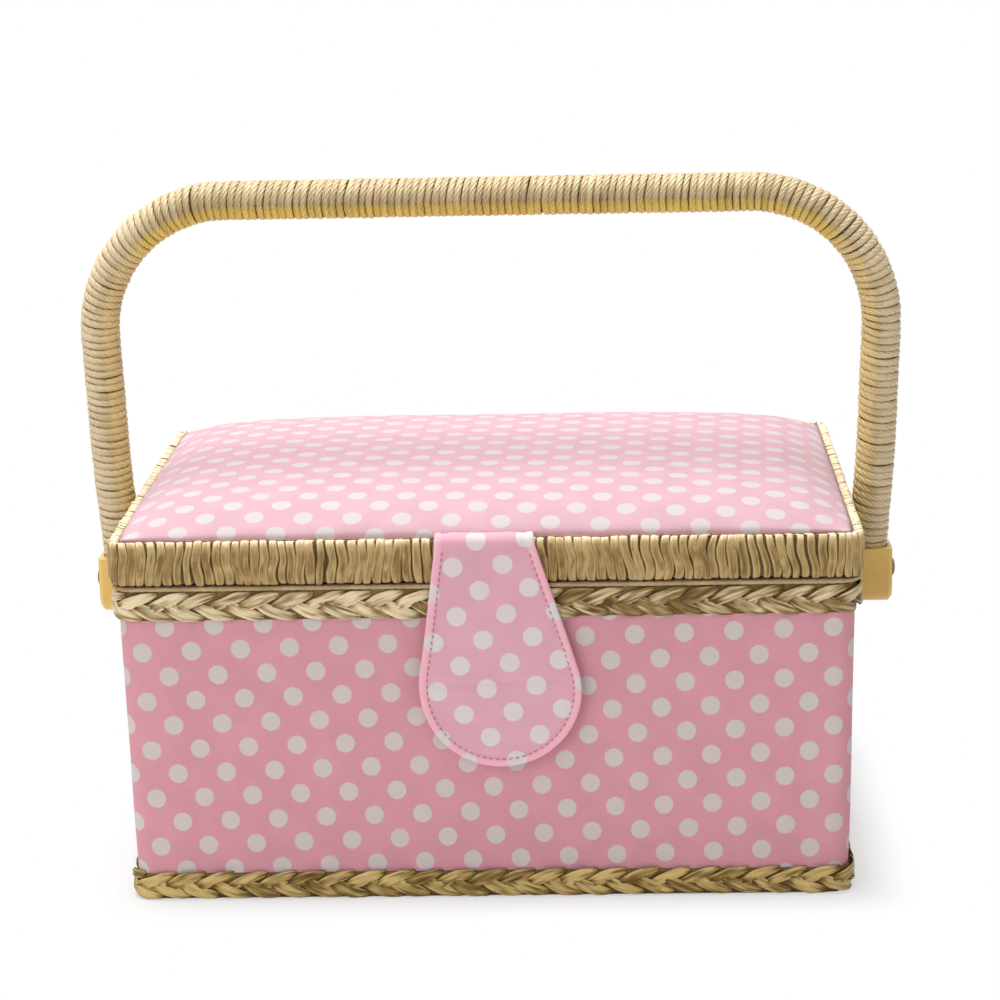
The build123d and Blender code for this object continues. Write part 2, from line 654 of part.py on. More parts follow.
def build():
    """Every named piece of the box."""
    left, right = hinge_places()
    pieces = {
        "base_cover": base_cover(), "base_padding": base_padding(), "base_walls": base_walls(),
        "base_lining": base_lining(), "floor_board": floor_board(), "under_cloth": under_cloth(),
        "floor_pad": floor_pad(), "upper_braid": upper_braid(), "lower_braid": lower_braid(),
        "rim_cord": rim_cord(), "snap_base": snap_base(),
        "panel_front": panel(True, -1), "panel_back": panel(True, 1),
        "panel_left": panel(False, -1), "panel_right": panel(False, 1),
        "hinge_base_left": base_leaf(left), "hinge_base_right": base_leaf(right),
        "hinge_lid_left": lid_leaf(left), "hinge_lid_right": lid_leaf(right),
        "hinge_pin_left": hinge_pin(left), "hinge_pin_right": hinge_pin(right),
        "hinge_screws_base": screws(BASE_HEIGHT, -1), "hinge_screws_lid": screws(LID_LOW, 1),
        "lid_frame": lid_frame(), "lid_wrap": lid_wrap(), "lid_board": lid_board(),
        "lid_foam": lid_foam(), "lid_cover": lid_cover(), "lid_lining": lid_lining(),
        "flap_root": flap_root(), "flap_face": flap_face(), "flap_core": flap_core(),
        "flap_back": flap_back(), "snap_flap": snap_flap(),
        "handle_core": handle_core(), "handle_wrap": handle_wrap(), "tray": tray(),
    }
    for name, side in SIDES:
        pieces["ferrule_" + name] = ferrule(side)
        pieces["rivet_" + name] = rivet(side)
        pieces["washer_" + name] = washer(side)
    return pieces


def write(pieces):
    """One STEP file per named piece."""
    os.makedirs("parts", exist_ok=True)
    for name, shape in pieces.items():
        shapes = shape if isinstance(shape, list) else [shape]
        solids = [solid for item in shapes for solid in item.solids()]
        export_step(solids[0] if len(solids) == 1 else Compound(solids), f"parts/{name}.step")


write(build())
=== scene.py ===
"""Looks of a sewing box: dotted cotton over padded board, twine-wound rim and handle, plaited trims.

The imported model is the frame, in metres. Every new piece rides on one of its bodies, except the flap's cloth and
stitches, which bend between the lid and the flap.
"""
import logging
import random
from bisect import bisect_right
from dataclasses import dataclass
from enum import Enum
from math import asin, copysign, cos, dist, exp, hypot, pi, radians, sin, sqrt, tan
from typing import Callable, Optional, Sequence

import bmesh
import bpy
from bmesh.types import BMEdge, BMesh, BMVert
from bpy.types import Material, NodeSocket, Object
from mathutils import Matrix, Vector, noise
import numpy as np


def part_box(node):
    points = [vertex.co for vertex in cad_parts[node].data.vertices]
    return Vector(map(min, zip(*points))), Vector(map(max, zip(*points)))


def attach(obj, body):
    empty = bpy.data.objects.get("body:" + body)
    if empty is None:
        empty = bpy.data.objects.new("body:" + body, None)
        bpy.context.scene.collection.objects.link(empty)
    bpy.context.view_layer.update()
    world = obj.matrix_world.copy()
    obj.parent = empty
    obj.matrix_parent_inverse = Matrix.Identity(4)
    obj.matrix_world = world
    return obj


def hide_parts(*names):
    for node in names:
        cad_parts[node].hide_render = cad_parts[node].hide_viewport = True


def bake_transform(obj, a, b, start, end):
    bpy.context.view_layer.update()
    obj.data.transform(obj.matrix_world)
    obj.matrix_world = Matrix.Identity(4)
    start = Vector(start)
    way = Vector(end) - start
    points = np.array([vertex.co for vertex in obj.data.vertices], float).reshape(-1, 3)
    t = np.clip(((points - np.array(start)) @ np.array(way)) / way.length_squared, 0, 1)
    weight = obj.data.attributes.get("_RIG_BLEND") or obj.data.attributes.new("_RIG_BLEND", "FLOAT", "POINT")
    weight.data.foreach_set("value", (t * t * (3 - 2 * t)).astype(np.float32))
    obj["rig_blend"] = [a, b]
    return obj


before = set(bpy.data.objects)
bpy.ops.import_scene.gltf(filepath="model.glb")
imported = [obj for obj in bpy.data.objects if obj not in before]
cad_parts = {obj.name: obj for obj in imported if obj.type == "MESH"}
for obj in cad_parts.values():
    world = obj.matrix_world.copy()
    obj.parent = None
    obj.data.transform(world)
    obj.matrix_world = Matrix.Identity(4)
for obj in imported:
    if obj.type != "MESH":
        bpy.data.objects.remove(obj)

LOG = logging.getLogger("sewing_box")
MM = 0.001
CHART = "chart"  # UV map that follows a surface, in metres
TONE_AND_SHADE = "tone_and_shade"  # how dark or pale a spot of a strand is, about -0.5 to 1.5: its own tone, with painted shade in grooves and hollows and painted highlights on edges and tops
SIDE = "side"  # how far a spot of the handle faces out of its loop, 0 to 1; where it is low the twine gets painted yellow bounce light
HEM = "hem"  # 1 on a turned edge, where the cloth lies in two layers; it is painted paler there, partly for the two layers and partly as a painted highlight on the rolled edge
END_SIDES = 12  # the most corners that the open end of a strand has

Pair = tuple[float, float]
Spot = Callable[[float, float], Vector]
Chart = Callable[[float, float], Pair]
Paint = Callable[[float, float], float]


def smooth(value: float, low: float, high: float) -> float:
    """Smooth step from 0 at low to 1 at high."""
    t = min(max((value - low) / (high - low), 0.0), 1.0)
    return t * t * (3 - 2 * t)


def ripple(x: float, y: float, z: float = 0.0) -> float:
    """Smooth noise from about -1 to 1 at a point given in noise cells."""
    return noise.noise(Vector((x, y, z)))


def table(value: float, spots: Sequence[Pair]) -> float:
    """Smooth curve through listed spots.

    Args:
        value: Where to read it.
        spots: Pairs of place and height, in order.

    Returns:
        The height, with a monotone cubic between two spots.
    """
    if value <= spots[0][0]:
        return spots[0][1]
    if value >= spots[-1][0]:
        return spots[-1][1]
    i = bisect_right([p for p, _ in spots], value) - 1
    grades = [(b[1] - a[1]) / (b[0] - a[0]) for a, b in zip(spots, spots[1:])]

    def slope(k: int) -> float:
        """Slope at one spot, as the harmonic mean of its neighbours."""
        if k == 0 or k == len(spots) - 1:
            return grades[0] if k == 0 else grades[-1]
        a, b = grades[k - 1], grades[k]
        return 0.0 if a * b <= 0 else 2 * a * b / (a + b)

    (x0, y0), (x1, y1) = spots[i], spots[i + 1]
    h = x1 - x0
    t = (value - x0) / h
    return (
        y0 * (2 * t**3 - 3 * t**2 + 1) + slope(i) * h * (t**3 - 2 * t**2 + t)
        + y1 * (3 * t**2 - 2 * t**3) + slope(i + 1) * h * (t**3 - t**2)
    )

def bell(value: float, middle: float, width: float) -> float:
    """1 at the middle, falling to nearly 0 within two widths."""
    return exp(-(((value - middle) / width) ** 2))


def pick(items: Sequence, share: float) -> object:
    """The item of a row that lies at a share of the way along it."""
    return items[round(share * (len(items) - 1))]


def running(points: Sequence[Sequence[float]]) -> list[float]:
    """Length of a line up to each of its points."""
    sums = [0.0]
    for before, after in zip(points, points[1:]):
        sums.append(sums[-1] + dist(before, after))
    return sums


def found(sums: Sequence[float], s: float) -> tuple[int, float]:
    """Looks up a length along a line.

    Args:
        sums: Length of the line up to each of its points.
        s: The length that is wanted, held between the line's ends.

    Returns:
        The number of the point before it, and the share of the way from there to the next.
    """
    s = min(max(s, 0.0), sums[-1])
    i = min(bisect_right(sums, s) - 1, len(sums) - 2)
    return i, (s - sums[i]) / (sums[i + 1] - sums[i])


# Shapes shared by the pieces

@dataclass(frozen=True)
class Plan:
    """A rounded rectangle, walked from the middle of the back over the left side to the front."""

    half_x: float = 153.2 * MM
    half_y: float = 113.2 * MM
    corner: float = 8 * MM

    @property
    def length(self) -> float:
        """Length of the whole way round."""
        return 4 * (self.half_x + self.half_y - 2 * self.corner) + 2 * pi * self.corner

    def halves(self, inset: float) -> Pair:
        """Half width and half depth this far inside the line."""
        return self.half_x - inset, self.half_y - inset

    def place(self, s: float, out: float = 0.0, shrink: float = 0.0) -> tuple[Vector, Vector]:
        """Finds a spot on the line.

        Args:
            s: Way along the line.
            out: How far outside the line the spot lies.
            shrink: How much shorter the straight sides are, each way, with the corners as they were.

        Returns:
            The spot and the direction that faces out, both with no height.
        """
        a, b = self.half_x - self.corner, self.half_y - self.corner
        bend = pi / 2 * self.corner
        legs = (
            (a, 0, 1, -1, 1, 90, 90), (bend, -1, 1, -1, 1, 90, 180), (2 * b, -1, 1, -1, -1, 180, 180),
            (bend, -1, -1, -1, -1, 180, 270), (2 * a, -1, -1, 1, -1, 270, 270), (bend, 1, -1, 1, -1, 270, 360),
            (2 * b, 1, -1, 1, 1, 360, 360), (bend, 1, 1, 1, 1, 0, 90), (a, 1, 1, 0, 1, 90, 90),
        )
        s %= self.length
        for run, x0, y0, x1, y1, turn0, turn1 in legs:
            if s <= run:
                break
            s -= run
        t = min(s / run, 1.0)
        turn = radians(turn0 + (turn1 - turn0) * t)
        normal = Vector((cos(turn), sin(turn), 0))
        middle = Vector(((x0 + (x1 - x0) * t) * (a - shrink), (y0 + (y1 - y0) * t) * (b - shrink), 0))
        return middle + normal * (self.corner + out), normal


@dataclass(frozen=True)
class Base:
    """Sizes of the base that several pieces share."""

    height: float = 134.4 * MM
    lean: float = 2.5 * MM
    rim_proud: float = 3.4 * MM
    well_in: float = 7.8 * MM
    hinge_x: float = 75 * MM
    hinge_half: float = 13 * MM

    def lean_at(self, z: float) -> float:
        """How far the cloth lies inside the rim's face at a height."""
        return self.rim_proud + self.lean * (self.height - z) / self.height


PLAN = Plan()
BASE = Base()


def on_wall(s: float, out: float, z: float) -> Vector:
    """Spot at a way round the base, a distance off its leaning wall and a height."""
    point, _ = PLAN.place(s, out, BASE.lean_at(z))
    point.z = z
    return point


def at_hinge(s: float, spare: float) -> float:
    """1 where a way round the base lies at a hinge, with room to spare, falling to 0 beside it."""
    spot, _ = PLAN.place(s)
    near = BASE.hinge_half + spare
    return 0.0 if spot.y < 0 else 1 - smooth(abs(abs(spot.x) - BASE.hinge_x), near, near + 3 * MM)


def draped(bm: BMesh, columns: int, rows: int, spot: Spot, chart: Chart,
           paint: Optional[dict[str, Paint]] = None) -> None:
    """Adds a flat grid and moves it into its place point by point.

    Args:
        bm: The mesh that gets the grid.
        columns: Faces across, along the first direction.
        rows: Faces along the second direction.
        spot: Gives the place of a point from its two shares, each 0 to 1.
        chart: Gives the flat pattern's coordinates from the same shares.
        paint: Values by attribute name, from the same shares.
    """
    layer = bm.loops.layers.uv.get(CHART) or bm.loops.layers.uv.new(CHART)
    floats = bm.verts.layers.float
    rules = paint or {}
    for name in rules:
        if name not in floats:
            floats.new(name)
    kept = [(floats[name], rule) for name, rule in rules.items()]
    verts = bmesh.ops.create_grid(bm, x_segments=columns, y_segments=rows, size=0.5)["verts"]
    for face in {face for vert in verts for face in vert.link_faces}:
        for loop in face.loops:
            loop[layer].uv = chart(loop.vert.co.x + 0.5, loop.vert.co.y + 0.5)
    for vert in verts:
        a, b = vert.co.x + 0.5, vert.co.y + 0.5
        for values, rule in kept:
            vert[values] = rule(a, b)
        vert.co = spot(a, b)


def capped(bm: BMesh) -> None:
    """Closes the open ends of the strands."""
    bmesh.ops.holes_fill(bm, edges=[e for e in bm.edges if e.is_boundary], sides=END_SIDES)


def linked(name: str, data: bpy.types.ID) -> Object:
    """Puts new data into the scene as an object."""
    made = bpy.data.objects.new(name, data)
    bpy.context.scene.collection.objects.link(made)
    return made


def finished(name: str, bm: BMesh, body: Optional[str], material: Material, slot: str,
             replaces: Sequence[str] = (), weld: float = 1e-6) -> Object:
    """Turns a mesh into a piece of the object.

    Args:
        name: The piece's name.
        bm: Its mesh, which is used up.
        body: The body that it rides on, or None for one that bends between two.
        material: Its finish.
        slot: The record's slot of that finish; not used.
        replaces: CAD nodes that it stands for.
        weld: Points nearer than this become one.

    Returns:
        The piece.
    """
    bmesh.ops.remove_doubles(bm, verts=bm.verts[:], dist=weld)
    bmesh.ops.recalc_face_normals(bm, faces=bm.faces[:])
    for face in bm.faces:
        face.smooth = True
    mesh = bpy.data.meshes.new(name)
    bm.to_mesh(mesh)
    bm.free()
    mesh.materials.append(material)
    piece = linked(name, mesh)
    if replaces:
        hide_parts(*replaces)
    if body:
        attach(piece, body)
    LOG.info("%s: %d faces", name, len(mesh.polygons))
    return piece


# Finishes

class Nodes:
    """A node tree, put together node by node."""

    def __init__(self, tree: bpy.types.NodeTree) -> None:
        """Takes up the tree."""
        self.tree = tree

    def add(self, kind: str, inputs: dict, out: int | str = 0, **settings: object) -> NodeSocket:
        """Adds a node.

        Args:
            kind: The node's type, without the usual first part.
            inputs: A value or another node's socket for each input, by name or number.
            out: The output that is wanted.
            settings: The node's own settings.

        Returns:
            That output.
        """
        node = self.tree.nodes.new("ShaderNode" + kind)
        for key, value in settings.items():
            setattr(node, key, value)
        for key, value in inputs.items():
            self.feed(node.inputs[key], value)
        return node.outputs[out]

    def feed(self, socket: NodeSocket, value: object) -> None:
        """Links a socket, or sets it when the value is no socket."""
        if isinstance(value, NodeSocket):
            self.tree.links.new(value, socket)
        else:
            socket.default_value = value

    def math(self, operation: str, a: object, b: object = 0.0, c: object = 0.0) -> NodeSocket:
        """One step of arithmetic on numbers."""
        return self.add("Math", {0: a, 1: b, 2: c}, operation=operation)

    def total(self, *parts: tuple[object, float], start: float = 0.0) -> NodeSocket:
        """Numbers added up, each times its weight."""
        for number, weight in parts:
            start = self.math("MULTIPLY_ADD", number, weight, start)
        return start

    def vector(self, operation: str, a: object, b: object = (0, 0, 0), out: int | str = 0) -> NodeSocket:
        """One step of arithmetic on vectors."""
        return self.add("VectorMath", {0: a, 1: b}, out, operation=operation)

    def mix(self, share: object, a: object, b: object, blend: str = "MIX") -> NodeSocket:
        """Mixes two colours."""
        return self.add("Mix", {0: share, 6: a, 7: b}, 2, data_type="RGBA", blend_type=blend)

    def steps(self, value: object, low: float, high: float, to: Pair = (0, 1)) -> NodeSocket:
        """Smooth step of a value."""
        return self.add("MapRange", {0: value, 1: low, 2: high, 3: to[0], 4: to[1]}, interpolation_type="SMOOTHSTEP")

    def chart(self) -> NodeSocket:
        """The surface's own coordinates, in metres."""
        return self.add("UVMap", {}, uv_map=CHART)

    def spot(self) -> NodeSocket:
        """Place on the object, in metres."""
        return self.add("TexCoord", {}, "Object")

    def scaled(self, vector: object, scale: tuple[float, float, float]) -> NodeSocket:
        """A vector with each part scaled."""
        return self.vector("MULTIPLY", vector, scale)

    def noise(self, vector: object, cells: object, detail: float = 2.0, rough: float = 0.5) -> NodeSocket:
        """Noise from 0 to 1, with this many cells per unit, the same each way or one number for each."""
        vector = self.scaled(vector, cells if isinstance(cells, tuple) else (cells, cells, cells))
        return self.add("TexNoise", {"Vector": vector, "Scale": 1.0, "Detail": detail, "Roughness": rough})

    def wave(self, vector: object, cells: tuple, way: str, distortion: float = 0.0) -> NodeSocket:
        """Straight bands from 0 to 1 across one direction."""
        return self.add("TexWave", {"Vector": self.scaled(vector, cells), "Scale": 1.0, "Distortion": distortion}, 1,
                        wave_type="BANDS", bands_direction=way)

    def painted(self, name: str) -> NodeSocket:
        """A number that the mesh carries."""
        return self.add("Attribute", {}, "Fac", attribute_name=name)

    def seen(self) -> NodeSocket:
        """1 for rays that the camera, gloss or glass sees."""
        path = self.tree.nodes.new("ShaderNodeLightPath").outputs
        some = self.math("MAXIMUM", path["Is Camera Ray"], path["Is Glossy Ray"])
        return self.math("MAXIMUM", some, path["Is Transmission Ray"])


class Recipe(Nodes):
    """One procedural material."""

    def __init__(self, name: str, **constants: object) -> None:
        """Starts a material.

        Args:
            name: Its name.
            constants: Values of the shader's sockets that are the same all over, by name with _ for a space.
        """
        self.material = bpy.data.materials.new(name)
        self.material.use_nodes = True
        super().__init__(self.material.node_tree)
        self.shader = self.tree.nodes["Principled BSDF"]
        for key, value in constants.items():
            self.shader.inputs[key.replace("_", " ")].default_value = value

    def done(self, colour: object, height: object = None, depth: float = 0.0, rough: object = None) -> Material:
        """Wires the shader.

        Args:
            colour: Base colour.
            height: Height for the bump, 0 to 1.
            depth: What a height of 1 stands for, in metres.
            rough: Roughness where it varies.

        Returns:
            The material.
        """
        self.feed(self.shader.inputs["Base Color"], colour)
        if rough is not None:
            self.feed(self.shader.inputs["Roughness"], rough)
        if height is not None:
            bump = self.add("Bump", {"Strength": 1.0, "Distance": depth, "Height": height})
            self.feed(self.shader.inputs["Normal"], bump)
        return self.material


def toned(colour: Sequence[float], *shares: float) -> tuple:
    """A colour with each of its channels scaled."""
    return (*(channel * share for channel, share in zip(colour, shares)), 1)


@dataclass(frozen=True)
class DottedCotton:
    """Pink cotton with printed white dots on a staggered grid."""

    name: str
    pitch: float
    row: float
    origin: Pair
    tilt: float
    radius: float = 4.0 * MM
    fray: float = 0.5 * MM
    blur: float = 0.22 * MM
    thread: float = 2200  # phase of the weave's bands, per metre
    ground: tuple = (0.695, 0.319, 0.373, 1)
    dot: tuple = (0.645, 0.565, 0.545, 1)

    def make(self) -> Material:
        """Builds the cloth's material."""
        r = Recipe(self.name, Roughness=0.78, Sheen_Weight=0.12, Sheen_Roughness=0.5, Specular_IOR_Level=0.25)
        chart = r.chart()
        moved = r.vector("SUBTRACT", chart, (self.origin[0], self.origin[1], 0))
        cell = (self.pitch, 2 * self.row, 1.0)
        turned = r.add("VectorRotate", {"Vector": moved, "Angle": -self.tilt}, rotation_type="Z_AXIS")
        grid = r.scaled(turned, (1 / cell[0], 1 / cell[1], 0))
        far = []
        for shift in (0.5, 1.0):
            part = r.vector("FRACTION", r.vector("ADD", grid, (shift, shift, 0)))
            part = r.scaled(r.vector("SUBTRACT", part, (0.5, 0.5, 0)), cell)
            far.append(r.vector("LENGTH", part, out="Value"))
        near = r.math("MINIMUM", far[0], far[1])
        ragged = r.total((near, 1.0), (r.noise(chart, 900), self.fray), start=-self.fray / 2)
        mask = r.steps(ragged, self.radius + self.blur, self.radius - self.blur)
        warp = r.wave(chart, (self.thread, 0, 0), "X")
        weft = r.wave(chart, (0, self.thread, 0), "Y")
        slub = r.noise(chart, (350, 1600, 1), 3)
        weave = r.total((r.math("MULTIPLY", warp, weft), 0.25), (slub, 0.75))
        tone = r.steps(r.noise(chart, (60, 60, 1), 3), 0.3, 0.7, (0.965, 1.035))
        ground = r.mix(1.0, self.ground, r.add("CombineColor", {0: tone, 1: tone, 2: tone}), "MULTIPLY")
        ground = r.mix(r.steps(slub, 0.25, 0.75, (0.0, 0.10)), ground, toned(self.ground, 0.93, 0.82, 0.84))
        # Paler on the turned edge: partly its two layers, partly a painted highlight on its roll.
        hem_and_highlight = r.math("MULTIPLY", r.painted(HEM), 0.75)
        ground = r.mix(hem_and_highlight, ground, toned(self.ground, 1.27, 1.22, 1.2))
        return r.done(r.mix(mask, ground, self.dot), weave, 0.05 * MM)


class Straw(Enum):
    """Plant fibre and paper finishes: name, pale and dark colour, roughness, streaks across and along per metre."""

    RIM_TWINE = ("rim_paper_twine", (0.61, 0.435, 0.195), (0.23, 0.135, 0.036), 0.46, 1500, 70)
    HANDLE_TWINE = ("handle_paper_twine", (0.78, 0.63, 0.40), (0.46, 0.325, 0.15), 0.36, 1700, 90)
    # Painted bounce light: the yellower twine colour for the inside of the handle's loop.
    HANDLE_BOUNCE = ("handle_paper_twine_painted_bounce", (0.84, 0.62, 0.12), (0.52, 0.355, 0.05), 0.4, 1700, 90)
    UPPER_PLAIT = ("upper_raffia", (0.90, 0.735, 0.46), (0.27, 0.165, 0.046), 0.34, 1300, 40)
    LOWER_PLAIT = ("lower_raffia", (0.74, 0.545, 0.21), (0.19, 0.11, 0.017), 0.36, 1300, 40)
    CORD = ("cord_twine", (0.62, 0.48, 0.27), (0.36, 0.24, 0.10), 0.6, 1500, 150)

    def make(self) -> Material:
        """Builds the fibre's material, streaked along each strand."""
        name, pale, dark, rough, across, along = self.value
        r = Recipe(name, Roughness=rough, Specular_IOR_Level=0.22)
        chart = r.chart()
        tone_and_shade = r.painted(TONE_AND_SHADE)
        way = {k: r.add("SeparateXYZ", {0: chart}, k) for k in (0, 1)}
        streak = r.noise(r.add("CombineXYZ", {**way, 2: tone_and_shade}), (across, along, 2.0), 4, 0.6)
        fibre = r.noise(r.add("CombineXYZ", {**way, 2: 1.0}), (3.1 * across, 1.6 * along, 7.0), 3, 0.6)
        blotch = r.noise(r.spot(), 70)
        shade = r.total((streak, 0.95), (tone_and_shade, 0.62), (fibre, 0.5), (blotch, 0.5), start=-0.75)
        shade = r.steps(shade, 0.12, 0.92)
        colour = r.mix(shade, (*dark, 1), (*pale, 1))
        if self is Straw.HANDLE_TWINE:
            # Painted bounce light: yellower where the twine faces into the loop.
            inner = Straw.HANDLE_BOUNCE.value
            painted_bounce = r.mix(shade, (*inner[2], 1), (*inner[1], 1))
            colour = r.mix(r.steps(r.painted(SIDE), 0.3, 0.46), painted_bounce, colour)
        # Below 0 the tone turns towards a near-black brown: painted shade in the grooves and hollows of the strands and
        # under the plait's leaves.
        colour = r.mix(r.steps(tone_and_shade, -0.6, 0.05), toned(dark, 0.3, 0.26, 0.25), colour)
        if self is Straw.RIM_TWINE:
            # Above 0.9 the rim twine turns cream: a painted highlight on the strand tips and over the rim's top.
            colour = r.mix(r.steps(tone_and_shade, 0.9, 1.5), colour, (0.93, 0.79, 0.56, 1))
        height = r.total((streak, 0.7), (fibre, 0.3))
        if self is Straw.HANDLE_TWINE:
            plies = r.wave(chart, (330, 190, 0), "DIAGONAL", 1.2)
            height = r.total((height, 0.6), (plies, 0.9))
            # The ply bands are raised and also painted paler: painted glints along the twist.
            colour = r.mix(r.math("MULTIPLY", plies, 0.22), colour, (*pale, 1))
        return r.done(colour, height, 0.3 * MM, r.total((streak, 0.25), start=rough - 0.12))


@dataclass(frozen=True)
class Satin:
    """Lining satin with a soft sheen."""

    name: str = "blush_satin"
    colour: tuple = (0.84, 0.62, 0.62, 1)

    def make(self) -> Material:
        """Builds the satin's material."""
        r = Recipe(self.name, Roughness=0.38, Specular_IOR_Level=0.5, Sheen_Weight=0.25, Sheen_Roughness=0.35,
                   Anisotropic=0.3)
        spot = r.spot()
        yarn = r.noise(spot, (420, 420, 2600))
        crush = r.noise(spot, 38, 4, 0.55)
        colour = r.mix(r.steps(yarn, 0.3, 0.7, (0.0, 0.35)), self.colour, toned(self.colour, 0.9, 0.83, 0.84))
        height = r.total((crush, 0.95), (yarn, 0.05))
        return r.done(colour, height, 0.9 * MM, r.steps(crush, 0.3, 0.7, (0.3, 0.46)))


class Hard(Enum):
    """Rigid finishes: name, colour, second colour, roughness, metallic, coat, grain per metre, depth in mm."""

    AMBER = ("amber_plastic", (0.80, 0.54, 0.12), (0.73, 0.475, 0.095), 0.36, 0.0, 0.25, (160, 160, 160), 0.05)
    TRAY = ("tray_plastic", (0.60, 0.525, 0.51), (0.56, 0.485, 0.47), 0.33, 0.0, 0.15, (240, 240, 240), 0.03)
    NICKEL = ("nickel_plate", (0.66, 0.64, 0.60), (0.48, 0.46, 0.43), 0.27, 1.0, 0.0, (300, 2500, 300), 0.02)
    BRONZE = ("antique_brass", (0.46, 0.31, 0.12), (0.17, 0.11, 0.05), 0.38, 1.0, 0.0, (500, 500, 500), 0.08)
    BOARD = ("brown_board", (0.16, 0.10, 0.042), (0.10, 0.062, 0.024), 0.9, 0.0, 0.0, (500, 500, 900), 0.12)
    CANE = ("cane_core", (0.55, 0.38, 0.19), (0.34, 0.22, 0.10), 0.6, 0.0, 0.0, (900, 900, 120), 0.15)
    FELT = ("under_cloth", (0.60, 0.36, 0.40), (0.50, 0.29, 0.33), 0.95, 0.0, 0.0, (1500, 1500, 1500), 0.12)

    def make(self) -> Material:
        """Builds the finish from two tones, worn unevenly."""
        name, colour, second, rough, metal, coat, grain, depth = self.value
        r = Recipe(name, Roughness=rough, Metallic=metal, Coat_Weight=coat, Coat_Roughness=0.2)
        spot = r.spot()
        fine = r.noise(spot, grain, 4, 0.6)
        share = r.steps(r.total((fine, 0.5), (r.noise(spot, 45), 0.5)), 0.35, 0.68)
        return r.done(r.mix(share, (*second, 1), (*colour, 1)), fine, depth * MM,
                      r.total((fine, 0.22), start=rough - 0.11))


# The base

@dataclass
class BodyCloth:
    """Dotted cotton over foam on the base's walls, turned in over their top edge."""

    foot: float = 0.8 * MM
    thick: float = 3.0 * MM
    brim: float = 134.0 * MM
    columns: int = 420
    wall_rows: int = 44
    gather: Pair = (9 * MM, 26 * MM)
    slack: Pair = (70 * MM, 60 * MM)

    def profile(self) -> list[tuple[float, float, float]]:
        """Inset, height and chart height of each row, once round the section."""
        tall = self.brim - 0.8 * MM - self.foot
        rows = [(0.0, z, z) for z in (self.foot + tall * i / self.wall_rows for i in range(self.wall_rows + 1))]
        folded = ((0.25, -0.25, 0), (0.9, 0, 1), (3.5, 0, 3.5), (7, 0, 7), (7, -0.5, 7.5))
        rows += [(inset * MM, self.brim + z * MM, self.brim + way * MM) for inset, z, way in folded]
        return rows + [(self.thick, self.brim - 0.6 * MM, 0.0), (self.thick, self.foot, 0.0), (0.0, self.foot, 0.0)]

    def build(self, cloth: Material) -> Object:
        """Builds the cloth.

        Args:
            cloth: The dotted cotton.

        Returns:
            The piece.
        """
        rows = self.profile()
        length = PLAN.length

        def spot(a: float, b: float) -> Vector:
            """Place of a point of the cloth."""
            k = round(b * (len(rows) - 1))
            inset, z, _ = rows[k]
            out = -inset
            if k <= self.wall_rows:
                s = a * length
                edge = max(1 - smooth(z, 10 * MM, 30 * MM), smooth(z, 100 * MM, 121 * MM))
                gather = ripple(s / self.gather[0], z / self.gather[1], 3.1) * (0.18 + 0.34 * edge)
                slack = ripple(s / self.slack[0], z / self.slack[1], 8.7) * 0.35
                out += (gather + slack) * MM * smooth(z, 1 * MM, 4 * MM) * (1 - smooth(z, 127 * MM, 131 * MM))
            return on_wall(a * length, out, z)

        bm = bmesh.new()
        draped(bm, self.columns, len(rows) - 1, spot,
               lambda a, b: ((a - 0.5) * length, pick(rows, b)[2]))
        piece = finished("body_cloth", bm, "base", cloth, "dotted_cloth", ("base_cover", "base_padding"))
        return piece


